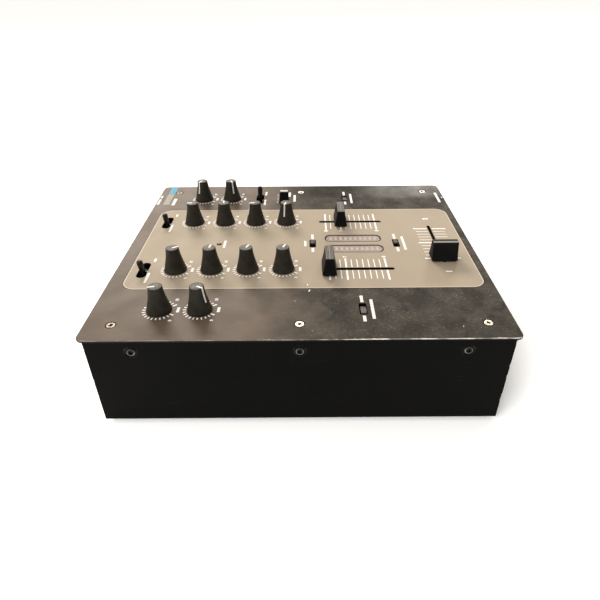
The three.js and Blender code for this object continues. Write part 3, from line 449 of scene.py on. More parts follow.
# Pale grip for the cue cap: pale plastic that also stands in for a painted highlight on its top.
CAP_PALE_AND_HIGHLIGHT = moulded("cap_pale_and_highlight", (0.55, 0.53, 0.49), (0.42, 0.40, 0.37), 0.42)
BUTTON_GREY = moulded("button_grey", (0.15, 0.137, 0.125), (0.23, 0.21, 0.195), 0.45)
FELT_BLACK = moulded("felt_black", (0.004, 0.004, 0.004), (0.008, 0.008, 0.007), 0.95, 0.3, 0.05, 0.1)
# Brown ring round a meter lens that also stands in for the shade at the edge of its hole.
GASKET_AND_SHADE_BROWN = moulded("gasket_and_shade_brown", (0.042, 0.033, 0.024), (0.07, 0.056, 0.044), 0.6, specular=0.2)
RUBBER = moulded("foot_rubber", (0.012, 0.012, 0.012), (0.03, 0.029, 0.027), 0.85, 0.8, 0.04, 0.2)
SOCKET_BLACK = moulded("socket_black", (0.012, 0.012, 0.012), (0.025, 0.024, 0.022), 0.4)
SOCKET_WHITE = moulded("socket_white", (0.60, 0.58, 0.53), (0.42, 0.40, 0.36), 0.4)
SOCKET_RED = moulded("socket_red", (0.34, 0.018, 0.014), (0.20, 0.014, 0.012), 0.4)
LED_RED = moulded("led_red", (0.14, 0.030, 0.018), (0.09, 0.022, 0.014), 0.22, 1.0, 0.004, 0.6)
NICKEL = metal("nickel", (0.72, 0.70, 0.66), (0.42, 0.39, 0.34), 0.26)
SCREW_BRIGHT = metal("screw_bright", (0.80, 0.74, 0.63), (0.52, 0.45, 0.34), 0.46, recess=-0.08)
SCREW_GREYED = metal("screw_greyed", (0.29, 0.255, 0.22), (0.15, 0.13, 0.11), 0.5, recess=-0.08)
SCREW_DULL = metal("screw_dull", (0.20, 0.18, 0.155), (0.11, 0.10, 0.085), 0.5, recess=-0.08)
# Pale rings on the side screw heads and dimples: rubbed metal and a painted highlight.
SCREW_BLACK = rim_wear_and_highlight("screw_black", (1.95, 2.25, 3.0), (0.50, 0.48, 0.44), (0.35, -0.3), 0.2)
DIMPLE_BLACK = rim_wear_and_highlight("dimple_black", (4.1, 4.25, 4.45), (0.16, 0.15, 0.135), (0.0, -0.45), 0.0)
BRASS = metal("brass", (0.66, 0.48, 0.20), (0.34, 0.24, 0.10), 0.34)
TRACK_STEEL = metal("track_steel", (0.46, 0.45, 0.43), (0.26, 0.25, 0.23), 0.38)
WHITE_INK = ink("white_ink", (0.96, 0.95, 0.92))
CYAN_INK = ink("cyan_ink", (0.035, 0.35, 0.54))
GREY_INK = ink("grey_ink", (0.33, 0.31, 0.27))
FADED_INK = ink("faded_ink", (0.27, 0.255, 0.23))
ACRYLIC = acrylic()
SEGMENT = ink("meter_segment", (0.47, 0.385, 0.33))
BOARD = circuit_board()

# ---- Meshes ----


def new_object(name, data):
    made = bpy.data.objects.new(name, data)
    bpy.context.scene.collection.objects.link(made)
    return made


def add_piece(name, mesh, look, place=Matrix(), body=CASE, node=None):
    """Puts a mesh in the scene as a piece that rides on a body, and may stand in for a CAD node."""
    mesh.name = name
    mesh.materials.clear()
    mesh.materials.append(look)
    piece = new_object(name, mesh)
    piece.matrix_world = place
    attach(piece, body)
    if node:
        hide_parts(node)


def add_pieces(prefix, parts, place=Matrix(), body=CASE, node=None):
    """Adds a piece for each (name, mesh, look); the first may stand in for a CAD node."""
    for part, mesh, look in parts:
        add_piece(f"{prefix}_{part}", mesh, look, place, body, node)
        node = None


def at(x, y, z=0.0):
    """A place in millimetres, as a piece's matrix in metres."""
    return Matrix.Translation((x * MM, y * MM, z * MM))


def over(node, height=0.0):
    """A place at the middle of a node in plan, at a height."""
    return at(middle(node).x, middle(node).y, height)


def turned_by(degrees, axis="Z"):
    return Matrix.Rotation(math.radians(degrees), 4, axis)


def shade(mesh, angle=32):
    """Smooth shading that keeps sharp edges crisp and square-on faces flat."""
    mesh.shade_smooth()
    mesh.set_sharp_from_angle(angle=math.radians(angle))
    for face in mesh.polygons:
        if max(abs(part) for part in face.normal) > 0.9999:
            face.use_smooth = False
    return mesh


def to_mesh(form, angle=32):
    """Turns a bmesh in millimetres into a mesh in metres, with clean normals."""
    bmesh.ops.remove_doubles(form, verts=form.verts, dist=0.0005)
    bmesh.ops.recalc_face_normals(form, faces=form.faces)
    bmesh.ops.scale(form, verts=form.verts, vec=(MM, MM, MM))
    mesh = bpy.data.meshes.new("form")
    form.to_mesh(mesh)
    form.free()
    return shade(mesh, angle)


def evaluated_mesh(holder):
    """An object's mesh after its modifiers or curve settings; the object itself is dropped."""
    bpy.context.view_layer.update()
    graph = bpy.context.evaluated_depsgraph_get()
    mesh = bpy.data.meshes.new_from_object(holder.evaluated_get(graph))
    bpy.data.objects.remove(holder)
    return mesh


def turned(profile, segments=40, angle=40):
    """A form turned about Z from (radius, height) pairs, closed where it meets the axis."""
    form = bmesh.new()
    rings = []
    for radius, height in profile:
        steps = segments if radius else 1
        turns = [2 * math.pi * step / segments for step in range(steps)]
        rings.append([form.verts.new((radius * math.cos(turn), radius * math.sin(turn), height))
                      for turn in turns])
    for lower, upper in zip(rings, rings[1:]):
        for step in range(segments):
            after = (step + 1) % segments
            corners = [lower[step % len(lower)], lower[after % len(lower)],
                       upper[after % len(upper)], upper[step % len(upper)]]
            corners = list(dict.fromkeys(corners))
            if len(corners) > 2:
                form.faces.new(corners)
    return to_mesh(form, angle)


def arc(centre, radius, start, end, steps=5):
    """Points on an arc, in degrees from the first axis towards the second."""
    points = []
    for step in range(steps + 1):
        angle = math.radians(start + (end - start) * step / steps)
        points.append((centre[0] + radius * math.cos(angle), centre[1] + radius * math.sin(angle)))
    return points


def circle(x, y, radius, steps):
    return arc((x, y), radius, 0, 360 - 360 / steps, steps - 1)


def rounded_rectangle(x, y, size_x, size_y, corner, steps=8):
    """An outline in plan, anticlockwise."""
    points = []
    for sign_x, sign_y, start in ((1, -1, -90), (1, 1, 0), (-1, 1, 90), (-1, -1, 180)):
        centre = (x + sign_x * (size_x / 2 - corner), y + sign_y * (size_y / 2 - corner))
        points += arc(centre, corner, start, start + 90, steps)
    return points


def loft(sections, closed_ends=True, form=None):
    """A bmesh skinned over rings of the same number of (x, y, z) points."""
    form = form or bmesh.new()
    rings = [[form.verts.new(point) for point in section] for section in sections]
    count = len(rings[0])
    for lower, upper in zip(rings, rings[1:]):
        for step in range(count):
            after = (step + 1) % count
            form.faces.new((lower[step], lower[after], upper[after], upper[step]))
    if closed_ends:
        form.faces.new(list(reversed(rings[0])))
        form.faces.new(rings[-1])
    return form


def flat_plate(outline, holes, low, high, rounding):
    """A plate with holes and rounded edges, skinned from filled outlines."""
    curve = bpy.data.curves.new("outline", "CURVE")
    curve.dimensions = "2D"
    curve.fill_mode = "BOTH"
    for loop in [outline] + [list(reversed(hole)) for hole in holes]:
        spline = curve.splines.new("POLY")
        spline.points.add(len(loop) - 1)
        for point, (x, y) in zip(spline.points, loop):
            point.co = (x, y, 0, 1)
        spline.use_cyclic_u = True
    curve.extrude = (high - low) / 2 - rounding
    curve.bevel_depth = rounding
    curve.bevel_resolution = 2
    curve.offset = -rounding
    mesh = evaluated_mesh(new_object("outline", curve))
    mesh.transform(Matrix.Translation((0, 0, (low + high) / 2)))
    form = bmesh.new()
    form.from_mesh(mesh)
    bpy.data.meshes.remove(mesh)
    return to_mesh(form, 40)


def framed_plate(outer, hole, low, high, rounding):
    """A plate with one hole, each given as a rounded rectangle's sizes, corner and steps."""
    return flat_plate(rounded_rectangle(0, 0, *outer), [rounded_rectangle(0, 0, *hole)],
                      low, high, rounding)


def block(form, x, y, size_x, size_y, low, high):
    """Adds a plain block to a bmesh."""
    corners = Matrix.Translation((x, y, (low + high) / 2)) @ Matrix.Diagonal(
        (size_x, size_y, high - low, 1))
    return bmesh.ops.create_cube(form, size=1, matrix=corners)["verts"]


def soften(form, width, segments=2, angle=30):
    """Rounds every edge of a bmesh that is sharper than angle degrees."""
    edges = [edge for edge in form.edges
             if edge.is_manifold and edge.calc_face_angle(0) > math.radians(angle)]
    bmesh.ops.bevel(form, geom=edges, offset=width, segments=segments, profile=0.5,
                    affect="EDGES", clamp_overlap=True)
    return form


def blocks(shapes, rounding, segments=2):
    """A mesh of softened blocks, each given as x, y, size_x, size_y, low and high."""
    form = bmesh.new()
    for shape in shapes:
        block(form, *shape)
    return to_mesh(soften(form, rounding, segments))


def carve(mesh, cutters, angle):
    """Cuts closed meshes out of a mesh."""
    target = new_object("target", mesh)
    helpers = [new_object("cutter", cutter) for cutter in cutters]
    for helper in helpers:
        step = target.modifiers.new("cut", "BOOLEAN")
        step.operation = "DIFFERENCE"
        step.solver = "EXACT"
        step.object = helper
    carved = evaluated_mesh(target)
    for helper in helpers:
        bpy.data.objects.remove(helper)
    return shade(carved, angle)


def copies(mesh, places):
    """One mesh of a form repeated at several places."""
    whole = bmesh.new()
    for place in places:
        copy = mesh.copy()
        copy.transform(place)
        whole.from_mesh(copy)
        bpy.data.meshes.remove(copy)
    joined = bpy.data.meshes.new("form")
    whole.to_mesh(joined)
    whole.free()
    return shade(joined, 40)


# ---- Where the controls are ----

NODES = sorted(frame["nodes"])


def nodes_like(start="", end=""):
    return [name for name in NODES if name.startswith(start) and name.endswith(end)]


KNOBS = nodes_like(end="_knob")
TOGGLES = nodes_like(end="_toggle")
CAPS = nodes_like(end="_cap")
TRACKS = nodes_like(end="_track")
BUTTONS = nodes_like(end="_button")
METERS = nodes_like("meter_window")
FACE_SCREWS = nodes_like("face_screw")
SIDE_SCREWS = nodes_like("side_screw")
FEET = nodes_like("foot")

DIAL_HALF_SWEEP = 150
TRACK_END = 3
METER_FLANGE = 1.5


def joint_of(body):
    return next(joint for joint in frame["joints"] if joint["child"] == body)


def pivot(body):
    return [place / MM for place in joint_of(body)["pos_m"]]


def knob_place(node):
    """A knob's pivot on the plate, with the pointer's side towards local +Y."""
    x, y, _ = pivot(node)
    return at(x, y, PLATE_TOP) @ turned_by(DIAL_HALF_SWEEP + joint_of(node)["range_deg"][0])


def slot_of(track):
    """Middle, length and direction of a fader's slot."""
    extent = size(track)
    along = "x" if extent.x > extent.y else "y"
    return middle(track), max(extent.x, extent.y) - 2 * TRACK_END, along


def switch_centre(button):
    """The middle of a slide switch's hole: where its button stands at mid travel."""
    joint = joint_of(button)
    return middle(button) + Vector(joint["axis"]) * sum(joint["range_m"]) / 2 / MM


def window_of(meter):
    """Width and length of a meter's gasket."""
    extent = size(meter)
    return extent.x - 2 * METER_FLANGE, extent.y - 2 * METER_FLANGE


def outward(node):
    """1 for a piece at the right of the case, -1 for one at its left."""
    return math.copysign(1, middle(node).x)


# ---- Sheet metal ----

KNOB_HOLE = 3.9
SCREW_HOLE = 3.4
LAMP_HOLE = 1.95
TOGGLE_SLOT = (22, 7)
FADER_SLOT = 3.2
CROSSFADER_SLOT = 2.3
SWITCH_HOLE = (12.6, 5)
WINDOW_PLAY = 0.5
WINDOW_CORNER = 5
PLATE_EDGE = 0.28

SHEET = 1.2
BEND = 2.0
FOLD_EDGE = 0.25
BEAD = (150, 170)
BEAD_WIDTH = 4
DIMPLE_RADIUS = 4.5
DIMPLE_PROFILE = [(1.9, -2.0), (1.9, -0.85), (3.2, -0.85), (3.6, -0.75), (4.1, -0.25), (4.25, 0.02),
                  (4.4, 0.1), (4.52, 0.02), (4.52, -0.4), (3.9, -1.5), (3.2, -2.0), (1.9, -2.0)]


def faceplate_holes():
    holes = []
    for knob in KNOBS:
        x, y, _ = pivot(knob)
        holes.append(circle(x, y, KNOB_HOLE, 24))
    for toggle in TOGGLES:
        x, y, _ = pivot(toggle)
        holes.append(rounded_rectangle(x, y, *TOGGLE_SLOT, TOGGLE_SLOT[1] / 2 - 0.01, 10))
    for track in TRACKS:
        centre, length, along = slot_of(track)
        wide = CROSSFADER_SLOT if track.startswith("cross") else FADER_SLOT
        span = (length, wide) if along == "x" else (wide, length)
        holes.append(rounded_rectangle(centre.x, centre.y, *span, wide / 2 - 0.05, 5))
    for button in BUTTONS:
        centre = switch_centre(button)
        holes.append(rounded_rectangle(centre.x, centre.y, *SWITCH_HOLE, 0.35, 3))
    for meter in METERS:
        centre = middle(meter)
        window = [edge + WINDOW_PLAY for edge in window_of(meter)]
        holes.append(rounded_rectangle(centre.x, centre.y, *window, WINDOW_CORNER, 10))
    for screw in FACE_SCREWS:
        centre = middle(screw)
        holes.append(circle(centre.x, centre.y, SCREW_HOLE, 40))
    lamp = middle("power_led")
    holes.append(circle(lamp.x, lamp.y, LAMP_HOLE, 32))
    return holes


def build_faceplate():
    extent = size("faceplate")
    outline = rounded_rectangle(0, 0, extent.x, extent.y, PLATE_CORNER, 10)
    mesh = flat_plate(outline, faceplate_holes(), PLATE_BOTTOM, PLATE_TOP, PLATE_EDGE)
    add_piece("faceplate_sheet", mesh, PLATE_PAINT, node="faceplate")


def bent_tray():
    """The floor and side walls as one bent sheet."""
    half_x = shell_high.x
    half_y = shell_high.y
    outside = [(-half_x, shell_high.z)]
    outside += arc((-half_x + BEND, BEND), BEND, 180, 270, 6)
    outside += arc((half_x - BEND, BEND), BEND, 270, 360, 6)
    outside += [(half_x, shell_high.z)]
    inside = [(half_x - SHEET, shell_high.z)]
    inside += arc((half_x - BEND, BEND), BEND - SHEET, 360, 270, 6)
    inside += arc((-half_x + BEND, BEND), BEND - SHEET, 270, 180, 6)
    inside += [(-half_x + SHEET, shell_high.z)]
    form = loft([[(x, end, z) for x, z in outside + inside] for end in (-half_y, half_y)])
    bmesh.ops.recalc_face_normals(form, faces=form.faces)
    return to_mesh(soften(form, FOLD_EDGE, 2, 50), 30)


def build_shell():
    """The tray, with a bead round its floor and a dimple at each side screw."""
    inside_bead = [edge - 2 * BEAD_WIDTH for edge in BEAD]
    cutters = [framed_plate((*BEAD, 6, 6), (*inside_bead, 2.5, 6), -1, 0.4, 0.3)]
    for screw in SIDE_SCREWS:
        centre = middle(screw)
        side = outward(screw)
        place = at(side * shell_high.x, centre.y, centre.z) @ turned_by(side * 90, "Y")
        plug = turned([(0, -3), (DIMPLE_RADIUS, -3), (DIMPLE_RADIUS, 3), (0, 3)], 48)
        plug.transform(place)
        cutters.append(plug)
        dish = turned(DIMPLE_PROFILE, 48, 50)
        add_piece(f"{screw}_dimple", dish, DIMPLE_BLACK, place)
    add_piece("shell_sheet", carve(bent_tray(), cutters, 30), CASE_PAINT,
              node="bottom_shell")


def build_deck():
    """The chassis in its own shape, with rounded folds."""
    form = bmesh.new()
    form.from_mesh(frame["nodes"]["deck_frame"].data)
    bmesh.ops.scale(form, verts=form.verts, vec=(1 / MM, 1 / MM, 1 / MM))
    mesh = to_mesh(soften(form, 0.3, 2, 50), 30)
    add_piece("deck_sheet", mesh, CASE_PAINT, node="deck_frame")


# ---- Fasteners and feet ----

COUNTERSUNK = [(0, -8), (1.3, -8), (1.5, -7.6), (1.5, -1.35), (2.9, -0.1), (2.85, 0.0), (2.2, 0.03),
               (1.2, 0.045), (0, 0.05)]
PAN_HEAD = [(0, -9.5), (1.4, -9.5), (1.6, -9.1), (1.6, -1.5), (2.7, -1.5), (2.75, -1.2), (2.7, -0.75),
            (2.45, -0.35), (2.0, -0.1), (1.3, 0), (0, 0.0)]
HEAD_SINK = 0.06
RECESS_DEPTH = 1.1
RECESS_ARM_RATIO = 2.8
RECESS_TAPER = (0.35, 0.75)


def screw_mesh(profile, recess):
    """A turned screw with a cross recess, each of whose arms is a closed cutter."""
    arms = []
    for turn in (0, 90):
        form = bmesh.new()
        added = block(form, 0, 0, recess, recess / RECESS_ARM_RATIO, -RECESS_DEPTH, 0.5)
        for vert in added:
            if vert.co.z < 0:
                vert.co.x *= RECESS_TAPER[0]
                vert.co.y *= RECESS_TAPER[1]
        bmesh.ops.rotate(form, verts=added, matrix=turned_by(turn).to_3x3())
        arms.append(to_mesh(form))
    return carve(turned(profile, 40, 28), arms, 28)


def face_screw_look(centre):
    """The screws at the rear of the plate are tarnished, the right one the most."""
    if centre.y < plate_high.y / 2:
        return SCREW_BRIGHT
    return SCREW_DULL if centre.x > 0 else SCREW_GREYED


def build_screws():
    """Every screw is driven home to a different angle."""
    face_mesh = screw_mesh(COUNTERSUNK, 3.7)
    for index, node in enumerate(FACE_SCREWS):
        place = over(node, PLATE_TOP - HEAD_SINK) @ turned_by(27 + 41 * index)
        look = face_screw_look(middle(node))
        mesh = face_mesh if look == SCREW_BRIGHT else face_mesh.copy()
        add_piece(f"{node}_head", mesh, look, place, node=node)
    side_mesh = screw_mesh(PAN_HEAD, 3.2)
    for index, node in enumerate(SIDE_SCREWS):
        low, high = box(node)
        side = outward(node)
        head = high.x if side > 0 else low.x
        place = at(head, middle(node).y, middle(node).z) @ turned_by(side * 90, "Y")
        add_piece(f"{node}_head", side_mesh, SCREW_BLACK,
                  place @ turned_by(15 + 37 * index), node=node)


def build_feet():
    profile = [(0, FLOOR_Z + 0.3), (4.2, FLOOR_Z + 0.3), (4.8, FLOOR_Z), (6.6, FLOOR_Z)]
    profile += arc((6.6, FLOOR_Z + 0.7), 0.7, -90, 0, 4)
    profile += [(7.7, -1.2)] + arc((7.5, -0.5), 0.5, 0, 90, 4) + [(0, 0)]
    mesh = turned(profile, 48, 32)
    for node in FEET:
        add_piece(f"{node}_pad", mesh, RUBBER, over(node), node=node)


# ---- Knobs and toggles ----

KNOB_HEIGHT = 18.9
KNOB_BASE = 8.5
KNOB_NECK = 4.85
KNOB_GAP = 0.5
KNOB_LIP = 1.3
KNOB_SHOULDER = KNOB_HEIGHT - 0.6
KNOB_FLARE = 1.5

POINTER_HALF = 0.62
POINTER_DEPTH = 0.12
POINTER_END = 8.0


def knob_flank(height):
    """A knob's radius at a height above the plate."""
    rise = (height - KNOB_LIP) / (KNOB_SHOULDER - KNOB_LIP)
    return KNOB_NECK + (KNOB_BASE - 0.1 - KNOB_NECK) * max(0.0, 1 - rise) ** KNOB_FLARE


def knob_body():
    profile = [(0, 4.0), (3.2, 4.0), (7.1, 3.2), (7.2, KNOB_GAP + 0.1), (7.3, KNOB_GAP)]
    profile += arc((KNOB_BASE - 0.35, KNOB_GAP + 0.35), 0.35, -90, 20, 4)
    steps = 12
    for step in range(steps + 1):
        height = KNOB_LIP + (KNOB_SHOULDER - KNOB_LIP) * step / steps
        profile.append((knob_flank(height), height))
    profile += arc((KNOB_NECK - 0.45, KNOB_HEIGHT - 0.5), 0.45, 20, 90, 4)
    profile += [(KNOB_NECK - 0.75, KNOB_HEIGHT - 0.22), (0, KNOB_HEIGHT - 0.22)]
    return turned(profile, 64)


def knob_disc():
    edge = KNOB_NECK - 0.8
    top = KNOB_HEIGHT - 0.02
    return turned([(0, top - 0.25), (edge, top - 0.25), (edge, top - 0.08), (edge - 0.1, top),
                   (edge * 0.5, top - 0.03), (0, top - 0.04)], 64)


def knob_pointer():
    """The white line from the middle of the top, over the rim and down the flank."""
    path = [(0.2, KNOB_HEIGHT), (KNOB_NECK - 0.6, KNOB_HEIGHT)]
    path += arc((KNOB_NECK - 0.45, KNOB_HEIGHT - 0.5), 0.5, 80, 20, 4)
    start = KNOB_HEIGHT - 0.9
    steps = 8
    for step in range(steps + 1):
        height = start + (POINTER_END - start) * step / steps
        path.append((knob_flank(height) + 0.04, height))
    corners = ((-1, 0), (-1, POINTER_DEPTH), (1, POINTER_DEPTH), (1, 0))
    rows = [[(side * POINTER_HALF, out - sink, height - sink) for side, sink in corners]
            for out, height in path]
    return to_mesh(loft(rows), 50)


def build_knobs():
    parts = (("body", knob_body(), KNOB_BLACK), ("disc", knob_disc(), KNOB_GREY),
             ("pointer", knob_pointer(), WHITE_INK))
    for knob in KNOBS:
        add_pieces(knob, parts, knob_place(knob), knob, knob)


def toggle_lever():
    tip = 20.8
    bat = 2.25
    profile = [(0, -2.3)] + arc((0, 0), 2.3, -70, 50, 8)
    profile += [(1.4, 2.3), (1.6, 5), (1.95, 9), (bat, tip - 5), (bat + 0.05, tip - 2.2)]
    profile += arc((bat - 1.55, tip - 1.6), 1.6, 0, 90, 6) + [(0, tip)]
    return turned(profile, 40, 50)


def build_toggles():
    """Bat levers, each in a bush on a plated frame that shows through the slot."""
    lever = toggle_lever()
    for node in TOGGLES:
        spot = at(*pivot(node))
        lean = turned_by(-sum(joint_of(node)["range_deg"]) / 2, "Y")
        bush = turned([(2.6, -4), (4.0, -4), (4.0, 3.0), (3.7, 3.4), (3.3, 3.4), (3.1, 3.0),
                       (2.75, 1.5), (2.6, -4)])
        bridge = blocks([(side * 7.4, 0, 4.6, 6.0, 1.0, 4.6) for side in (-1, 1)], 0.25)
        add_piece(f"{node}_lever", lever, LEVER_BLACK, spot @ lean, node, node)
        add_pieces(node, (("bush", bush, SOCKET_BLACK), ("bridge", bridge, TRACK_STEEL)),
                   spot)


# ---- Fader caps and switches ----

# Base and top in plan, height, ribs on the grip, how hollow the flanks are, the line's width and
# offset, and the looks of the grip and the line.
CAP_SHAPES = {
    "channel": ((23.6, 10.9), (21.6, 6.5), 14.6, 5, 0.10, 0.7, 0.0, CAP_GREY, FADED_INK),
    # The cross cap's line is printed, and set wide towards the near edge as a painted highlight on that
    # rim.
    "cross": ((20.1, 12.6), (19.5, 6.7), 15.2, 4, 0.14, 2.0, 1.7, CAP_DARK, FADED_INK),
    # The cue cap's pale grip also carries a painted highlight on its top.
    "cue": ((9.6, 9.0), (7.7, 4.7), 12.0, 3, 0.10, 1.0, 0.0, CAP_PALE_AND_HIGHLIGHT, WHITE_INK),
}
CAP_KINDS = {"crossfader_cap": "cross", "cue_mix_fader_cap": "cue"}
CAP_UNDERSIDE = 1.1
CAP_CORNER = 0.7
CAP_RIM = 0.4
GRIP_HEIGHT = 0.45
GRIP_SINK = 0.3
RIB_DEPTH = 0.35
STEM = (1.2, 6)
STEM_LENGTH = 14

FINGER = (7.6, 3.8)
FINGER_NECK = (4, 2.4)
PAD = (4.8, 2.9)
WIDE_PAD = (7.2, 3.4)
PAD_RIBS = 5
WELL = (15, 8, 0.6, 4)
WELL_HOLE = (12.9, 4.6, 0.3, 3)
STRIP_WIDTH = 4
SLIT_WIDTH = 1.5


def cap_sections(base, top, low, high, hollow):
    """Rounded-rectangle sections of a tapering cap with hollow flanks and softened rims."""
    sections = []
    steps = 10
    for step in range(steps + 1):
        rise = step / steps
        taper = rise + hollow * math.sin(math.pi * rise)
        span = [a + (b - a) * taper for a, b in zip(base, top)]
        sections.append((span, low + (high - low) * rise))

    def inset(span, rims):
        return [edge - rims * CAP_RIM for edge in span]

    first, last = sections[0][0], sections[-1][0]
    sections[0] = (first, low + CAP_RIM)
    sections.insert(0, (inset(first, 0.5), low))
    sections[-1] = (last, high - CAP_RIM)
    sections += [(inset(last, 0.6), high - 0.15 * CAP_RIM), (inset(last, 2), high)]
    return [[(x, y, height) for x, y in rounded_rectangle(0, 0, *span, CAP_CORNER, 5)]
            for span, height in sections]


def ribbed_strip(length, width, low, high, ribs):
    """A strip along X whose top is rolled into lengthwise ribs."""
    steps = 6 * ribs
    points = [(-width / 2, low), (-width / 2, high - RIB_DEPTH)]
    for step in range(steps + 1):
        wave = abs(math.sin(math.pi * ribs * step / steps)) ** 0.6
        points.append((width * (step / steps - 0.5), high - RIB_DEPTH * (1 - wave)))
    points.append((width / 2, low))
    return to_mesh(loft([[(end * length / 2, y, z) for y, z in points] for end in (-1, 1)]), 60)


def build_fader_cap(node):
    """A black body with a ribbed grip, a line across it and the steel stem below, along X."""
    kind = CAP_KINDS.get(node, "channel")
    base, top, high, ribs, hollow, line_width, line_offset, grip_look, line_look = CAP_SHAPES[kind]
    along_y = joint_of(node)["axis"][1] != 0
    spin = turned_by(0 if along_y else 90)
    body_top = high - GRIP_HEIGHT
    strip = (top[0] - 0.5, top[1] - 0.6)
    low = box(node)[0].z
    body = to_mesh(loft(cap_sections(base, top, CAP_UNDERSIDE, body_top, hollow)), 35)
    grip = ribbed_strip(*strip, body_top - GRIP_SINK, high, ribs)
    line = blocks([(0, line_offset, strip[0] + 0.1, line_width, body_top, high)], 0.1)
    stem = blocks([(0, 0, *STEM, low, low + STEM_LENGTH)], 0.15)
    parts = (("body", body, CAP_BLACK), ("grip", grip, grip_look), ("line", line, line_look))
    add_pieces(node, parts, over(node, PLATE_TOP) @ spin, node, node)
    add_piece(f"{node}_stem", stem, TRACK_STEEL, over(node) @ spin, node)


def build_button(node):
    """A slide switch: a black finger block with a worn, ribbed grey pad, in a dark well."""
    foot, top = box(node)[0].z, box(node)[1].z
    finger = blocks([(0, 0, *FINGER, top - 3.9, top - 0.5), (0, 0, *FINGER_NECK, foot, top - 3.6)], 0.14)
    pad_x, pad_y = WIDE_PAD if node.startswith("fader") else PAD
    pad = [(0, 0, pad_x, pad_y, top - 0.9, top - 0.3)]
    for rib in range(PAD_RIBS):
        x = ((rib + 0.5) / PAD_RIBS - 0.5) * pad_x
        pad.append((x, 0, 0.45 * pad_x / PAD_RIBS, pad_y - 0.3, top - 0.5, top))
    parts = (("finger", finger, CAP_BLACK), ("pad", blocks(pad, 0.1), BUTTON_GREY))
    add_pieces(node, parts, over(node), node, node)
    well = framed_plate(WELL, WELL_HOLE, PLATE_BOTTOM - 1.4, PLATE_BOTTOM - 0.3, 0.1)
    spot = switch_centre(node)
    add_piece(f"{node}_well", well, SOCKET_BLACK, at(spot.x, spot.y))


def build_dust_strip(track):
    """A black strip with a slit, which closes a fader's slot round its stem."""
    _, length, along = slot_of(track)
    strip = framed_plate((length + 1.4, STRIP_WIDTH, 0.5, 4), (length - 0.4, SLIT_WIDTH, 0.3, 4),
                         PLATE_BOTTOM - 0.9, PLATE_BOTTOM - 0.2, 0.1)
    place = over(track) @ turned_by(0 if along == "x" else 90)
    add_piece(f"{track}_dust_strip", strip, FELT_BLACK, place)


# ---- Meters and lamp ----

METER_SEGMENTS = 10
SEGMENT_PITCH = 4.1
SEGMENT_SIZE = (4.6, 2.0)
GASKET_WIDTH = 0.85
METER_DEPTH = 1.9
LAMP_RADIUS = 1.7


def build_meter(node):
    width, length = window_of(node)
    lens = (width - 2 * GASKET_WIDTH, length - 2 * GASKET_WIDTH, 4.1, 10)
    low = PLATE_TOP - METER_DEPTH
    top = PLATE_TOP - 0.3
    lens_mesh = flat_plate(rounded_rectangle(0, 0, *lens), [], low, top, 0.2)
    # This ring fills the gap at the hole's edge and stands in for the shade there.
    gasket = framed_plate((width, length, 4.9, 10), lens, low, PLATE_TOP - 0.15, 0.1)
    segments = bmesh.new()
    for step in range(METER_SEGMENTS):
        y = (step - (METER_SEGMENTS - 1) / 2) * SEGMENT_PITCH
        block(segments, 0, y, *SEGMENT_SIZE, top - 0.05, top + INK)
    parts = (("lens", lens_mesh, ACRYLIC), ("gasket", gasket, GASKET_AND_SHADE_BROWN),
             ("segments", to_mesh(segments), SEGMENT))
    add_pieces(node, parts, over(node), node=node)


def build_lamp():
    node = "power_led"
    top = box(node)[1].z
    profile = [(0, top - 7.9), (2.0, top - 7.9), (2.0, top - 6.9), (LAMP_RADIUS, top - 6.9)]
    profile += arc((0, top - LAMP_RADIUS), LAMP_RADIUS, 0, 90, 8)[:-1] + [(0, top)]
    add_piece(f"{node}_lens", turned(profile, 40, 50), LED_RED, over(node), node=node)


# ---- Print on the faceplate ----

WORD_HEIGHT = 1.9
LETTER_WIDTHS = (1.0, 1.6)
LETTER_GAP = 0.28
DIAL_STEP = 15
DIAL_INNER = 9.2
DIAL_TICK = (11.4, 0.88)
DIAL_BOLD_TICK = (12.2, 1.2)
DIAL_NUMBER = (12.0, -9.6, 2.2)
DIAL_WORD_Y = -12.6
FADER_TRAVEL = 43.7
FADER_SCALE_HALF = 14.3
FADER_NUMBER_X = 18.4
CROSSFADER_TRAVEL = 52
CROSSFADER_SCALE_HALF = 12.4
CHANNEL_NUMBER_X = 46
SCALE_GAP = 2.2
SCALE_TICKS = 11
SCALE_NUMBERS = {0: "10", 3: "7", 10: "0"}
CROSSFADER_BOLD = (0, 5, 10)
TOGGLE_WORDS = ((-1, 11, 14), (1, 15.5, 5))
CUE_TOGGLE_WORDS = ((-1, 8, 13), (1, 13.5, 9))


def print_bar(form, x, y, size_x, size_y, turn=0.0, about=None):
    """A thin bar of ink on the plate, turned about a point."""
    added = block(form, x, y, size_x, size_y, PLATE_TOP - 0.02, PLATE_TOP + INK)
    if turn:
        bmesh.ops.rotate(form, verts=added, cent=(*about, 0), matrix=turned_by(turn).to_3x3())


def print_word(form, x, y, length, height=WORD_HEIGHT, seed=0):
    """A run of small upright bars that stands for a printed legend, reading along X."""
    draw = random.Random(seed)
    cursor = x - length / 2
    while cursor < x + length / 2 - 0.5:
        letter = min(draw.uniform(*LETTER_WIDTHS), x + length / 2 - cursor)
        print_bar(form, cursor + letter / 2, y, letter, height)
        cursor += letter + LETTER_GAP


def print_number(form, text, x, y, height, weight=0.05):
    """A plain numeral, upright when read from the front; weight thickens its strokes."""
    curve = bpy.data.curves.new("numeral", "FONT")
    curve.body = text
    curve.size = height * 1.42
    curve.align_x = "CENTER"
    curve.align_y = "CENTER"
    curve.extrude = INK / 2
    curve.offset = weight * height
    mesh = evaluated_mesh(new_object("numeral", curve))
    mesh.transform(Matrix.Translation((x, y, PLATE_TOP + INK / 2)))
    form.from_mesh(mesh)
    bpy.data.meshes.remove(mesh)


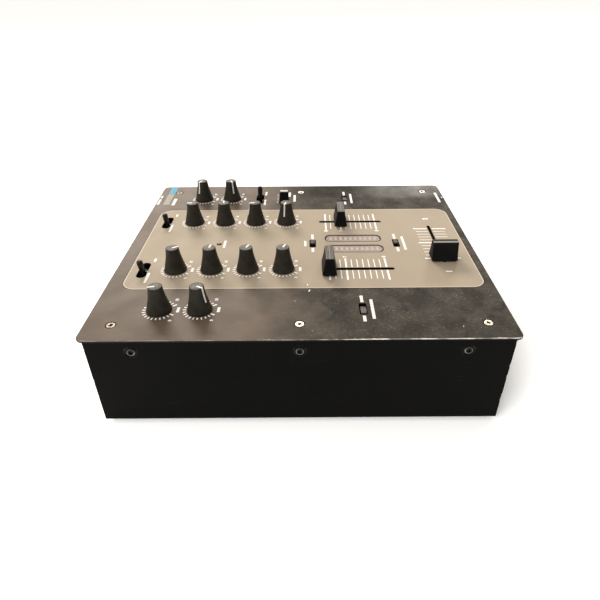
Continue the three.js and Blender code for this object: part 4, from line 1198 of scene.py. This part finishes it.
def print_dial(form, knob, seed):
    """Twenty-one ticks round a knob, bold at both ends, with end numerals and a legend."""
    x, y, _ = pivot(knob)
    for angle in range(-DIAL_HALF_SWEEP, DIAL_HALF_SWEEP + 1, DIAL_STEP):
        bold = abs(angle) == DIAL_HALF_SWEEP
        outer, wide = DIAL_BOLD_TICK if bold else DIAL_TICK
        print_bar(form, x, y + (DIAL_INNER + outer) / 2, wide, outer - DIAL_INNER, -angle, (x, y))
    number_x, number_y, number_height = DIAL_NUMBER
    for side, text in ((-1, "0"), (1, "10")):
        print_number(form, text, x + side * number_x, y + number_y, number_height)
    print_word(form, x, y + DIAL_WORD_Y, 5.6, 2.0, seed)


def print_scale(form, track, travel, half_width, bold_ticks):
    """Cross lines along a fader's slot, wide at the ends and at each numbered place."""
    centre, _, along = slot_of(track)
    for tick in range(SCALE_TICKS):
        offset = travel * (0.5 - tick / (SCALE_TICKS - 1))
        reach, thick = (half_width + 1.6, 1.35) if tick in bold_ticks else (half_width, 0.65)
        for side in (-1, 1):
            across = side * (SCALE_GAP + reach) / 2
            if along == "y":
                print_bar(form, centre.x + across, centre.y + offset, reach - SCALE_GAP, thick)
            else:
                print_bar(form, centre.x + offset, centre.y + across, thick, reach - SCALE_GAP)


def print_fader_scales(form):
    for track in ("channel_1_fader_track", "channel_2_fader_track"):
        print_scale(form, track, FADER_TRAVEL, FADER_SCALE_HALF, SCALE_NUMBERS)
        centre = middle(track)
        for tick, text in SCALE_NUMBERS.items():
            y = centre.y + FADER_TRAVEL * (0.5 - tick / (SCALE_TICKS - 1))
            print_number(form, text, centre.x - outward(track) * FADER_NUMBER_X, y, 2.8, 0.07)
    print_scale(form, "crossfader_track", CROSSFADER_TRAVEL, CROSSFADER_SCALE_HALF, CROSSFADER_BOLD)
    cross = middle("crossfader_track")
    for side, text, weight in ((-1, "1", 0.1), (1, "2", 0.08)):
        print_number(form, text, cross.x + side * CHANNEL_NUMBER_X, cross.y - 0.5, 4.2, weight)


def print_cue_mix(form):
    mix = middle("cue_mix_fader_track")
    for step in range(-3, 4):
        print_bar(form, mix.x + step * 3.3, mix.y + 6.5, 0.5, 1.6)
    print_word(form, mix.x - 14, mix.y - 4.8, 3.5, 2.2, 40)
    print_word(form, mix.x + 9.5, mix.y - 4.8, 11, 2.2, 41)
    print_word(form, mix.x, mix.y - 9.8, 16, 2.4, 44)


def print_switch_words(form):
    for seed, button in enumerate(BUTTONS):
        spot = switch_centre(button)
        for side, length in ((-1, 6.5), (1, 8.5)):
            x = spot.x + side * (7.8 + length / 2)
            print_word(form, x, spot.y, length, 2.1, 50 + 3 * seed + side)
        if button.startswith("meter"):
            print_word(form, spot.x, spot.y + 6.1, 9, seed=70)
        else:
            print_word(form, spot.x, spot.y - 6.3, 23, 2.1, 71 + seed)
    for seed, toggle in enumerate(TOGGLES):
        x, y, _ = pivot(toggle)
        for side, offset, length in CUE_TOGGLE_WORDS if toggle.startswith("cue") else TOGGLE_WORDS:
            print_word(form, x + side * offset, y - 5.2, length, seed=80 + 3 * seed + side)


def build_print():
    form = bmesh.new()
    for seed, knob in enumerate(KNOBS):
        print_dial(form, knob, seed)
    print_fader_scales(form)
    print_cue_mix(form)
    print_switch_words(form)
    lamp = middle("power_led")
    print_word(form, lamp.x, lamp.y - 4.6, 12.5, seed=90)
    for x, length in ((88.5, 13), (100.5, 6)):
        print_word(form, x, plate_high.y - 2.4, length, 2.2, 91)
    print_word(form, 95.5, plate_low.y + 6.2, 24, 2.4, 92)
    add_piece("printed_scales", to_mesh(form), WHITE_INK)


def build_badge():
    """A plain generic mark in the rear right corner: runs of cyan, grey and white blocks."""
    y = plate_high.y - 10.4
    runs = (("badge_cyan", CYAN_INK, 117, 17.5, y, 6.4, 5),
            ("badge_grey", GREY_INK, 94.3, 26, y, 6.0, 6),
            ("badge_white", WHITE_INK, 88, 16, y - 6.8, 2.9, 5))
    for name, look, x, length, middle_y, height, count in runs:
        form = bmesh.new()
        pitch = length / count
        for step in range(count):
            print_bar(form, x + (step + 0.5) * pitch - length / 2, middle_y, pitch - 0.5, height)
        add_piece(name, to_mesh(form), look)


def build_chips():
    """Three places where the paint is gone from the plate."""
    draw = random.Random(7)
    form = bmesh.new()
    corners = 9
    for x, y, reach in ((-63.5, -5.5, 1.6), (-71.5, -6.5, 1.8), (95, -138.0, 2.1)):
        ring = []
        for step in range(corners):
            turn = 2 * math.pi * step / corners
            radius = reach * draw.uniform(0.35, 1.0)
            ring.append((x + radius * math.cos(turn), y + 0.5 * radius * math.sin(turn)))
        loft([[(px, py, height) for px, py in ring]
              for height in (PLATE_TOP - 0.02, PLATE_TOP + 0.5 * INK)], form=form)
    add_piece("paint_chips", to_mesh(form), WHITE_INK)


# ---- Rear and front panels ----

PANEL_Y = shell_high.y
PHONO_PITCH = 14
PHONO_ROW_HALF = 8
PHONO_BLOCKS = ("rca_output_block", "rca_input_block")
REAR_WORD_Z = 51.5
REAR_RULE_Z = 55

PHONO_CUP = [(3.5, 0.4), (3.5, 8.5), (3.7, 8.9), (4.0, 9.0), (4.2, 8.7), (4.2, 1.2), (4.9, 1.1),
             (5.0, 0.3), (5.0, 0.05), (3.5, 0.05), (3.5, 0.4)]
PHONO_INSERT = [(1.7, 3.0), (1.7, 8.3), (1.9, 8.6), (3.2, 8.6), (3.5, 8.3), (3.5, 3.0), (1.7, 3.0)]
PHONO_CONTACT = [(0, 2.6), (1.7, 2.6), (1.7, 8.0), (1.4, 8.0), (1.4, 3.4), (0, 3.4)]
JACK_BUSH = [(3.2, -20), (3.2, 3.2), (3.5, 3.55), (4.3, 3.55), (4.6, 3.3), (4.6, -1), (8, -1.5),
             (8, -26), (3.2, -26), (3.2, -20)]
JACK_WASHER = [(4.7, 0.02), (7.8, 0.02), (7.8, 0.3), (7.6, 0.42), (4.7, 0.42), (4.7, 0.02)]
INLET_BARREL = [(3.0, -8), (3.0, 1.6), (3.2, 1.95), (5.2, 1.95), (5.6, 1.5), (5.6, 0.9), (7.0, 0.9),
                (7.2, 0.7), (7.2, 0.02), (5.6, 0.02), (5.6, -10), (0, -10), (0, -8), (3.0, -8)]
INLET_PIN = [(0, -8), (1.0, -8), (1.0, 0.2), (0.7, 0.7), (0, 0.8)]
ROCKER_HALF_LENGTH = 6.5
ROCKER_HALF_WIDTH = 4.5
ROCKER_HOLE = (14.2, 9.9, 0.4, 4)
SWITCH_CAN = (0, 0, 15.6, 11.4, -16, -6.9)
GROUND_WASHER = [(2.05, 0.02), (4.9, 0.02), (4.9, 0.9), (4.7, 1.1), (2.05, 1.1), (2.05, 0.02)]
THUMB_NUT = [(2.15, 3.4), (4.6, 3.4), (5.2, 3.9), (5.2, 9.4), (4.7, 9.9), (2.6, 10.0), (2.15, 9.7),
             (2.15, 3.4)]

STUD_RADIUS = 2.0
STUD_ROOT = 1.78
NUT_TEETH = 36
NUT_KNURL = 0.25


def facing_rear(x, z):
    """A place whose local +Z points out of the rear panel."""
    return at(x, PANEL_Y, z) @ turned_by(-90, "X")


def facing_out(node):
    """A place at a socket whose local +Z points out of the rear or the front panel."""
    centre = middle(node)
    if centre.y > 0:
        return facing_rear(centre.x, centre.z)
    return at(centre.x, -PANEL_Y, centre.z) @ turned_by(90, "X")


def phono_columns(node):
    low, high = box(node)
    return [low.x + (column + 0.5) * PHONO_PITCH for column in range(round((high.x - low.x) / PHONO_PITCH))]


def build_phono_block(node):
    low, high = box(node)
    centre = middle(node)
    reds, whites = [[facing_rear(x, centre.z + side * PHONO_ROW_HALF) for x in phono_columns(node)]
                    for side in (-1, 1)]
    moulding = blocks([(centre.x, PANEL_Y - 8.5, high.x - low.x - 0.6, 14, low.z, high.z)], 0.6, 3)
    add_piece(f"{node}_moulding", moulding, SOCKET_BLACK, node=node)
    insert = turned(PHONO_INSERT, 36)
    add_pieces(node, (("cups", copies(turned(PHONO_CUP), reds + whites), NICKEL),
                      ("white_inserts", copies(insert, whites), SOCKET_WHITE),
                      ("red_inserts", copies(insert, reds), SOCKET_RED),
                      ("contacts", copies(turned(PHONO_CONTACT, 24), reds + whites), NICKEL)))


def build_jack(node):
    """A quarter-inch socket: hexagon nut, washer, bush and the body behind the panel."""
    nut = bmesh.new()
    bmesh.ops.create_cone(nut, cap_ends=True, segments=6, radius1=7, radius2=7, depth=2.2,
                          matrix=Matrix.Translation((0, 0, 1.5)))
    hole = turned([(0, -2), (4.62, -2), (4.62, 6), (0, 6)])
    nut_mesh = carve(to_mesh(soften(nut, 0.25, 3)), [hole], 30)
    parts = (("bush", turned(JACK_BUSH), SOCKET_BLACK), ("nut", nut_mesh, NICKEL),
             ("washer", turned(JACK_WASHER, 48), NICKEL))
    add_pieces(node, parts, facing_out(node), node=node)


def build_power_inlet():
    place = facing_out("power_inlet")
    add_piece("power_inlet_barrel", turned(INLET_BARREL), SOCKET_BLACK, place,
              node="power_inlet")
    add_piece("power_inlet_pin", turned(INLET_PIN, 24), NICKEL, place)


def rocker_outline():
    """The rocker seen along its pivot: a key with two raised ends and a dip between them."""
    half = ROCKER_HALF_LENGTH
    ear = 3.6
    dip = 1.1
    outline = [(-half + 1.5, -5.4), (half - 1.5, -5.4), (half - 0.1, ear - 0.4), (half - 0.5, ear)]
    steps = 8
    for step in range(1, steps):
        share = min(step, steps - step) / steps
        outline.append((half * (1 - 2 * step / steps), ear - dip * math.sin(math.pi * share)))
    return outline + [(-half + 0.5, ear), (-half + 0.1, ear - 0.4)]


def build_power_switch():
    node = "power_switch_body"
    extent = size(node)
    bezel = framed_plate((extent.x, extent.z, 1.4, 6), ROCKER_HOLE, 0.1, box(node)[1].y - PANEL_Y, 0.4)
    can = blocks([SWITCH_CAN], 0.4)
    add_pieces("power_switch", (("bezel", bezel, SOCKET_BLACK), ("can", can, SOCKET_BLACK)),
               facing_out(node), node=node)

    rocker = "power_rocker"
    form = loft([[(x, y, side * ROCKER_HALF_WIDTH) for x, y in rocker_outline()] for side in (-1, 1)])
    bmesh.ops.recalc_face_normals(form, faces=form.faces)
    key = to_mesh(soften(form, 0.25, 2, 40))
    mark = bmesh.new()
    block(mark, 4.0, 3.19, 0.7, 0.1, -1.5, 1.5)
    spot = at(*pivot(rocker)) @ turned_by(-sum(joint_of(rocker)["range_deg"]) / 2)
    add_pieces(rocker, (("key", key, SOCKET_BLACK), ("mark", to_mesh(mark), WHITE_INK)),
               spot, rocker, rocker)


def build_ground_post():
    """A threaded stud with a washer and a knurled thumb nut."""
    place = facing_out("ground_nut")
    thread = [(STUD_RADIUS if step % 2 else STUD_ROOT, step * 0.35) for step in range(1, 40)]
    stud = turned([(0, -6), (STUD_RADIUS, -6)] + thread + [(1.5, 14.0), (0, 14.0)], 32, 30)
    rings = []
    for radius, height in THUMB_NUT:
        ring = []
        for step in range(2 * NUT_TEETH):
            turn = math.pi * step / NUT_TEETH
            reach = radius + (NUT_KNURL if step % 2 and radius > 5 else 0)
            ring.append((reach * math.cos(turn), reach * math.sin(turn), height))
        rings.append(ring)
    nut = to_mesh(loft(rings, closed_ends=False), 25)
    add_piece("ground_stud", stud, BRASS, place, node="ground_post")
    add_piece("ground_washer", turned(GROUND_WASHER), NICKEL, place)
    add_piece("ground_thumb_nut", nut, NICKEL, place, "ground_nut", "ground_nut")


def build_rear_print():
    """A word over each socket on the rear panel, and a rule over each phono block."""
    form = bmesh.new()
    for seed, node in enumerate(PHONO_BLOCKS):
        for column, x in enumerate(phono_columns(node)):
            print_word(form, x, -REAR_WORD_Z, 9.5, seed=100 + 10 * seed + column)
        length = size(node).x
        print_bar(form, middle(node).x, -REAR_RULE_Z, length - 3, 0.4)
        print_word(form, middle(node).x, -REAR_RULE_Z - 3.2, length / 3, 2.2, 120 + seed)
    singles = (("power_inlet", 13), ("power_switch_body", 12), ("ground_nut", 9), ("microphone_jack", 11))
    for seed, (node, length) in enumerate(singles):
        print_word(form, middle(node).x, -REAR_WORD_Z, length, seed=130 + seed)
    place = facing_rear(0, 0) @ at(0, 0, -PLATE_TOP)
    add_piece("rear_panel_print", to_mesh(form), WHITE_INK, place)


def dress(node, look):
    """Gives a CAD node that keeps its own shape a better material."""
    slots = frame["nodes"][node].data.materials
    slots.clear()
    slots.append(look)


# ---- Stage ----

BRIGHT_SIDE = (0.10, 0.55, 0.83)
ROOM_DARK = 0.34
ROOM_BRIGHT = 1.55
ROOM_SEEN = 1.05
ROOM_TINT = (1.0, 0.965, 0.915)
KEY_TINT = (1.0, 0.92, 0.82)
CORNER_TINT = (1.0, 0.95, 0.88)
WHITE = (1.0, 1.0, 1.0)
FLOOR_REACH = 8.0

CAMERA_PITCH = 34.1
CAMERA_ROLL = -0.39
CAMERA_BACK = 244.9
CAMERA_SIDE = 4.1
CAMERA_RISE = 195.0


def area_light(name, place, target, width, height, power, colour):
    """A rectangular lamp at a place, turned to a target, both in metres."""
    light = bpy.data.lights.new(name, "AREA")
    light.shape = "RECTANGLE"
    light.size = width
    light.size_y = height
    light.energy = power
    light.color = colour
    holder = new_object(name, light)
    holder.location = place
    aim = Vector(target) - Vector(place)
    holder.rotation_euler = aim.to_track_quat("-Z", "Y").to_euler()
    return holder


def link_light(light, floor, state):
    """Makes a light reach the floor alone, or all but the floor."""
    group = bpy.data.collections.new(f"{light.name}_receivers")
    group.objects.link(floor)
    group.collection_objects[0].light_linking.link_state = state
    light.light_linking.receiver_collection = group


def build_floor():
    form = bmesh.new()
    bmesh.ops.create_grid(form, x_segments=8, y_segments=8, size=FLOOR_REACH)
    mesh = bpy.data.meshes.new("floor")
    form.to_mesh(mesh)
    form.free()
    mesh.materials.append(light_floor())
    floor = new_object("floor", mesh)
    floor.location = (0, 0, FLOOR_Z * MM)
    return floor


def build_lights():
    """Two lamps on the mixer, and a fill that keeps the floor white but for a shadow at the right."""
    area_light("key", (1.73, 0.63, 1.27), (0, 0, 0.07), 0.9, 0.5, 38, KEY_TINT)
    corner = area_light("corner", (1.9, -0.75, 0.85), (0.1, -0.1, 0.07), 0.5, 0.3, 13, CORNER_TINT)
    floor = build_floor()
    fill = area_light("floor_fill", (-1.7, 1.3, 1.5), (-0.2, 0, 0), 1.0, 0.8, 52, WHITE)
    link_light(fill, floor, "INCLUDE")
    link_light(corner, floor, "EXCLUDE")
    bpy.context.scene.view_settings.view_transform = "Standard"


def build_world():
    """A pale room, brighter behind the mixer and to its rear, and plain white to the camera."""
    world = bpy.data.worlds.new("studio")
    bpy.context.scene.world = world
    world.use_nodes = True
    tree = world.node_tree
    direction = add_node(tree, "ShaderNodeTexCoord").outputs["Generated"]
    along = add_node(tree, "ShaderNodeVectorMath", {0: direction, 1: BRIGHT_SIDE}, operation="DOT_PRODUCT")
    room = Value(tree, along.outputs["Value"]).ramp(0.2, 1.0, ROOM_DARK, ROOM_BRIGHT)
    seen = add_node(tree, "ShaderNodeLightPath").outputs["Is Camera Ray"]
    strength = add_node(tree, "ShaderNodeMix", {"Factor": seen, 2: room, 3: ROOM_SEEN})
    tint = add_node(tree, "ShaderNodeMix", {"Factor": seen, 6: ROOM_TINT, 7: WHITE}, data_type="RGBA")
    background = tree.nodes["Background"]
    connect(tree, strength.outputs[0], background.inputs["Strength"])
    connect(tree, tint.outputs[2], background.inputs["Color"])


def build_camera():
    """From the player's left and above, looking along +X."""
    camera = bpy.data.cameras.new("camera")
    camera.sensor_width = 36
    camera.lens = 30.36
    camera.shift_x = -0.0097
    camera.shift_y = 0.001
    camera.clip_start = 0.01
    holder = new_object("camera", camera)
    eye = at(plate_low.x - CAMERA_BACK, -CAMERA_SIDE, PLATE_TOP + CAMERA_RISE)
    look = turned_by(-90) @ turned_by(90 - CAMERA_PITCH, "X") @ turned_by(CAMERA_ROLL)
    holder.matrix_world = eye @ look
    bpy.context.scene.camera = holder


# ---- Build ----

build_faceplate()
build_shell()
build_screws()
build_feet()
build_knobs()
build_toggles()
for cap in CAPS:
    build_fader_cap(cap)
for button in BUTTONS:
    build_button(button)
for track in TRACKS:
    build_dust_strip(track)
    dress(track, TRACK_STEEL)
for meter in METERS:
    build_meter(meter)
build_lamp()
build_print()
build_chips()
build_badge()
for sockets in PHONO_BLOCKS:
    build_phono_block(sockets)
for jack in ("microphone_jack", "phones_jack"):
    build_jack(jack)
build_power_inlet()
build_power_switch()
build_ground_post()
build_rear_print()
for board in ("control_board", "power_board"):
    dress(board, BOARD)
build_deck()
build_world()
build_lights()
build_camera()

bpy.context.view_layer.update()
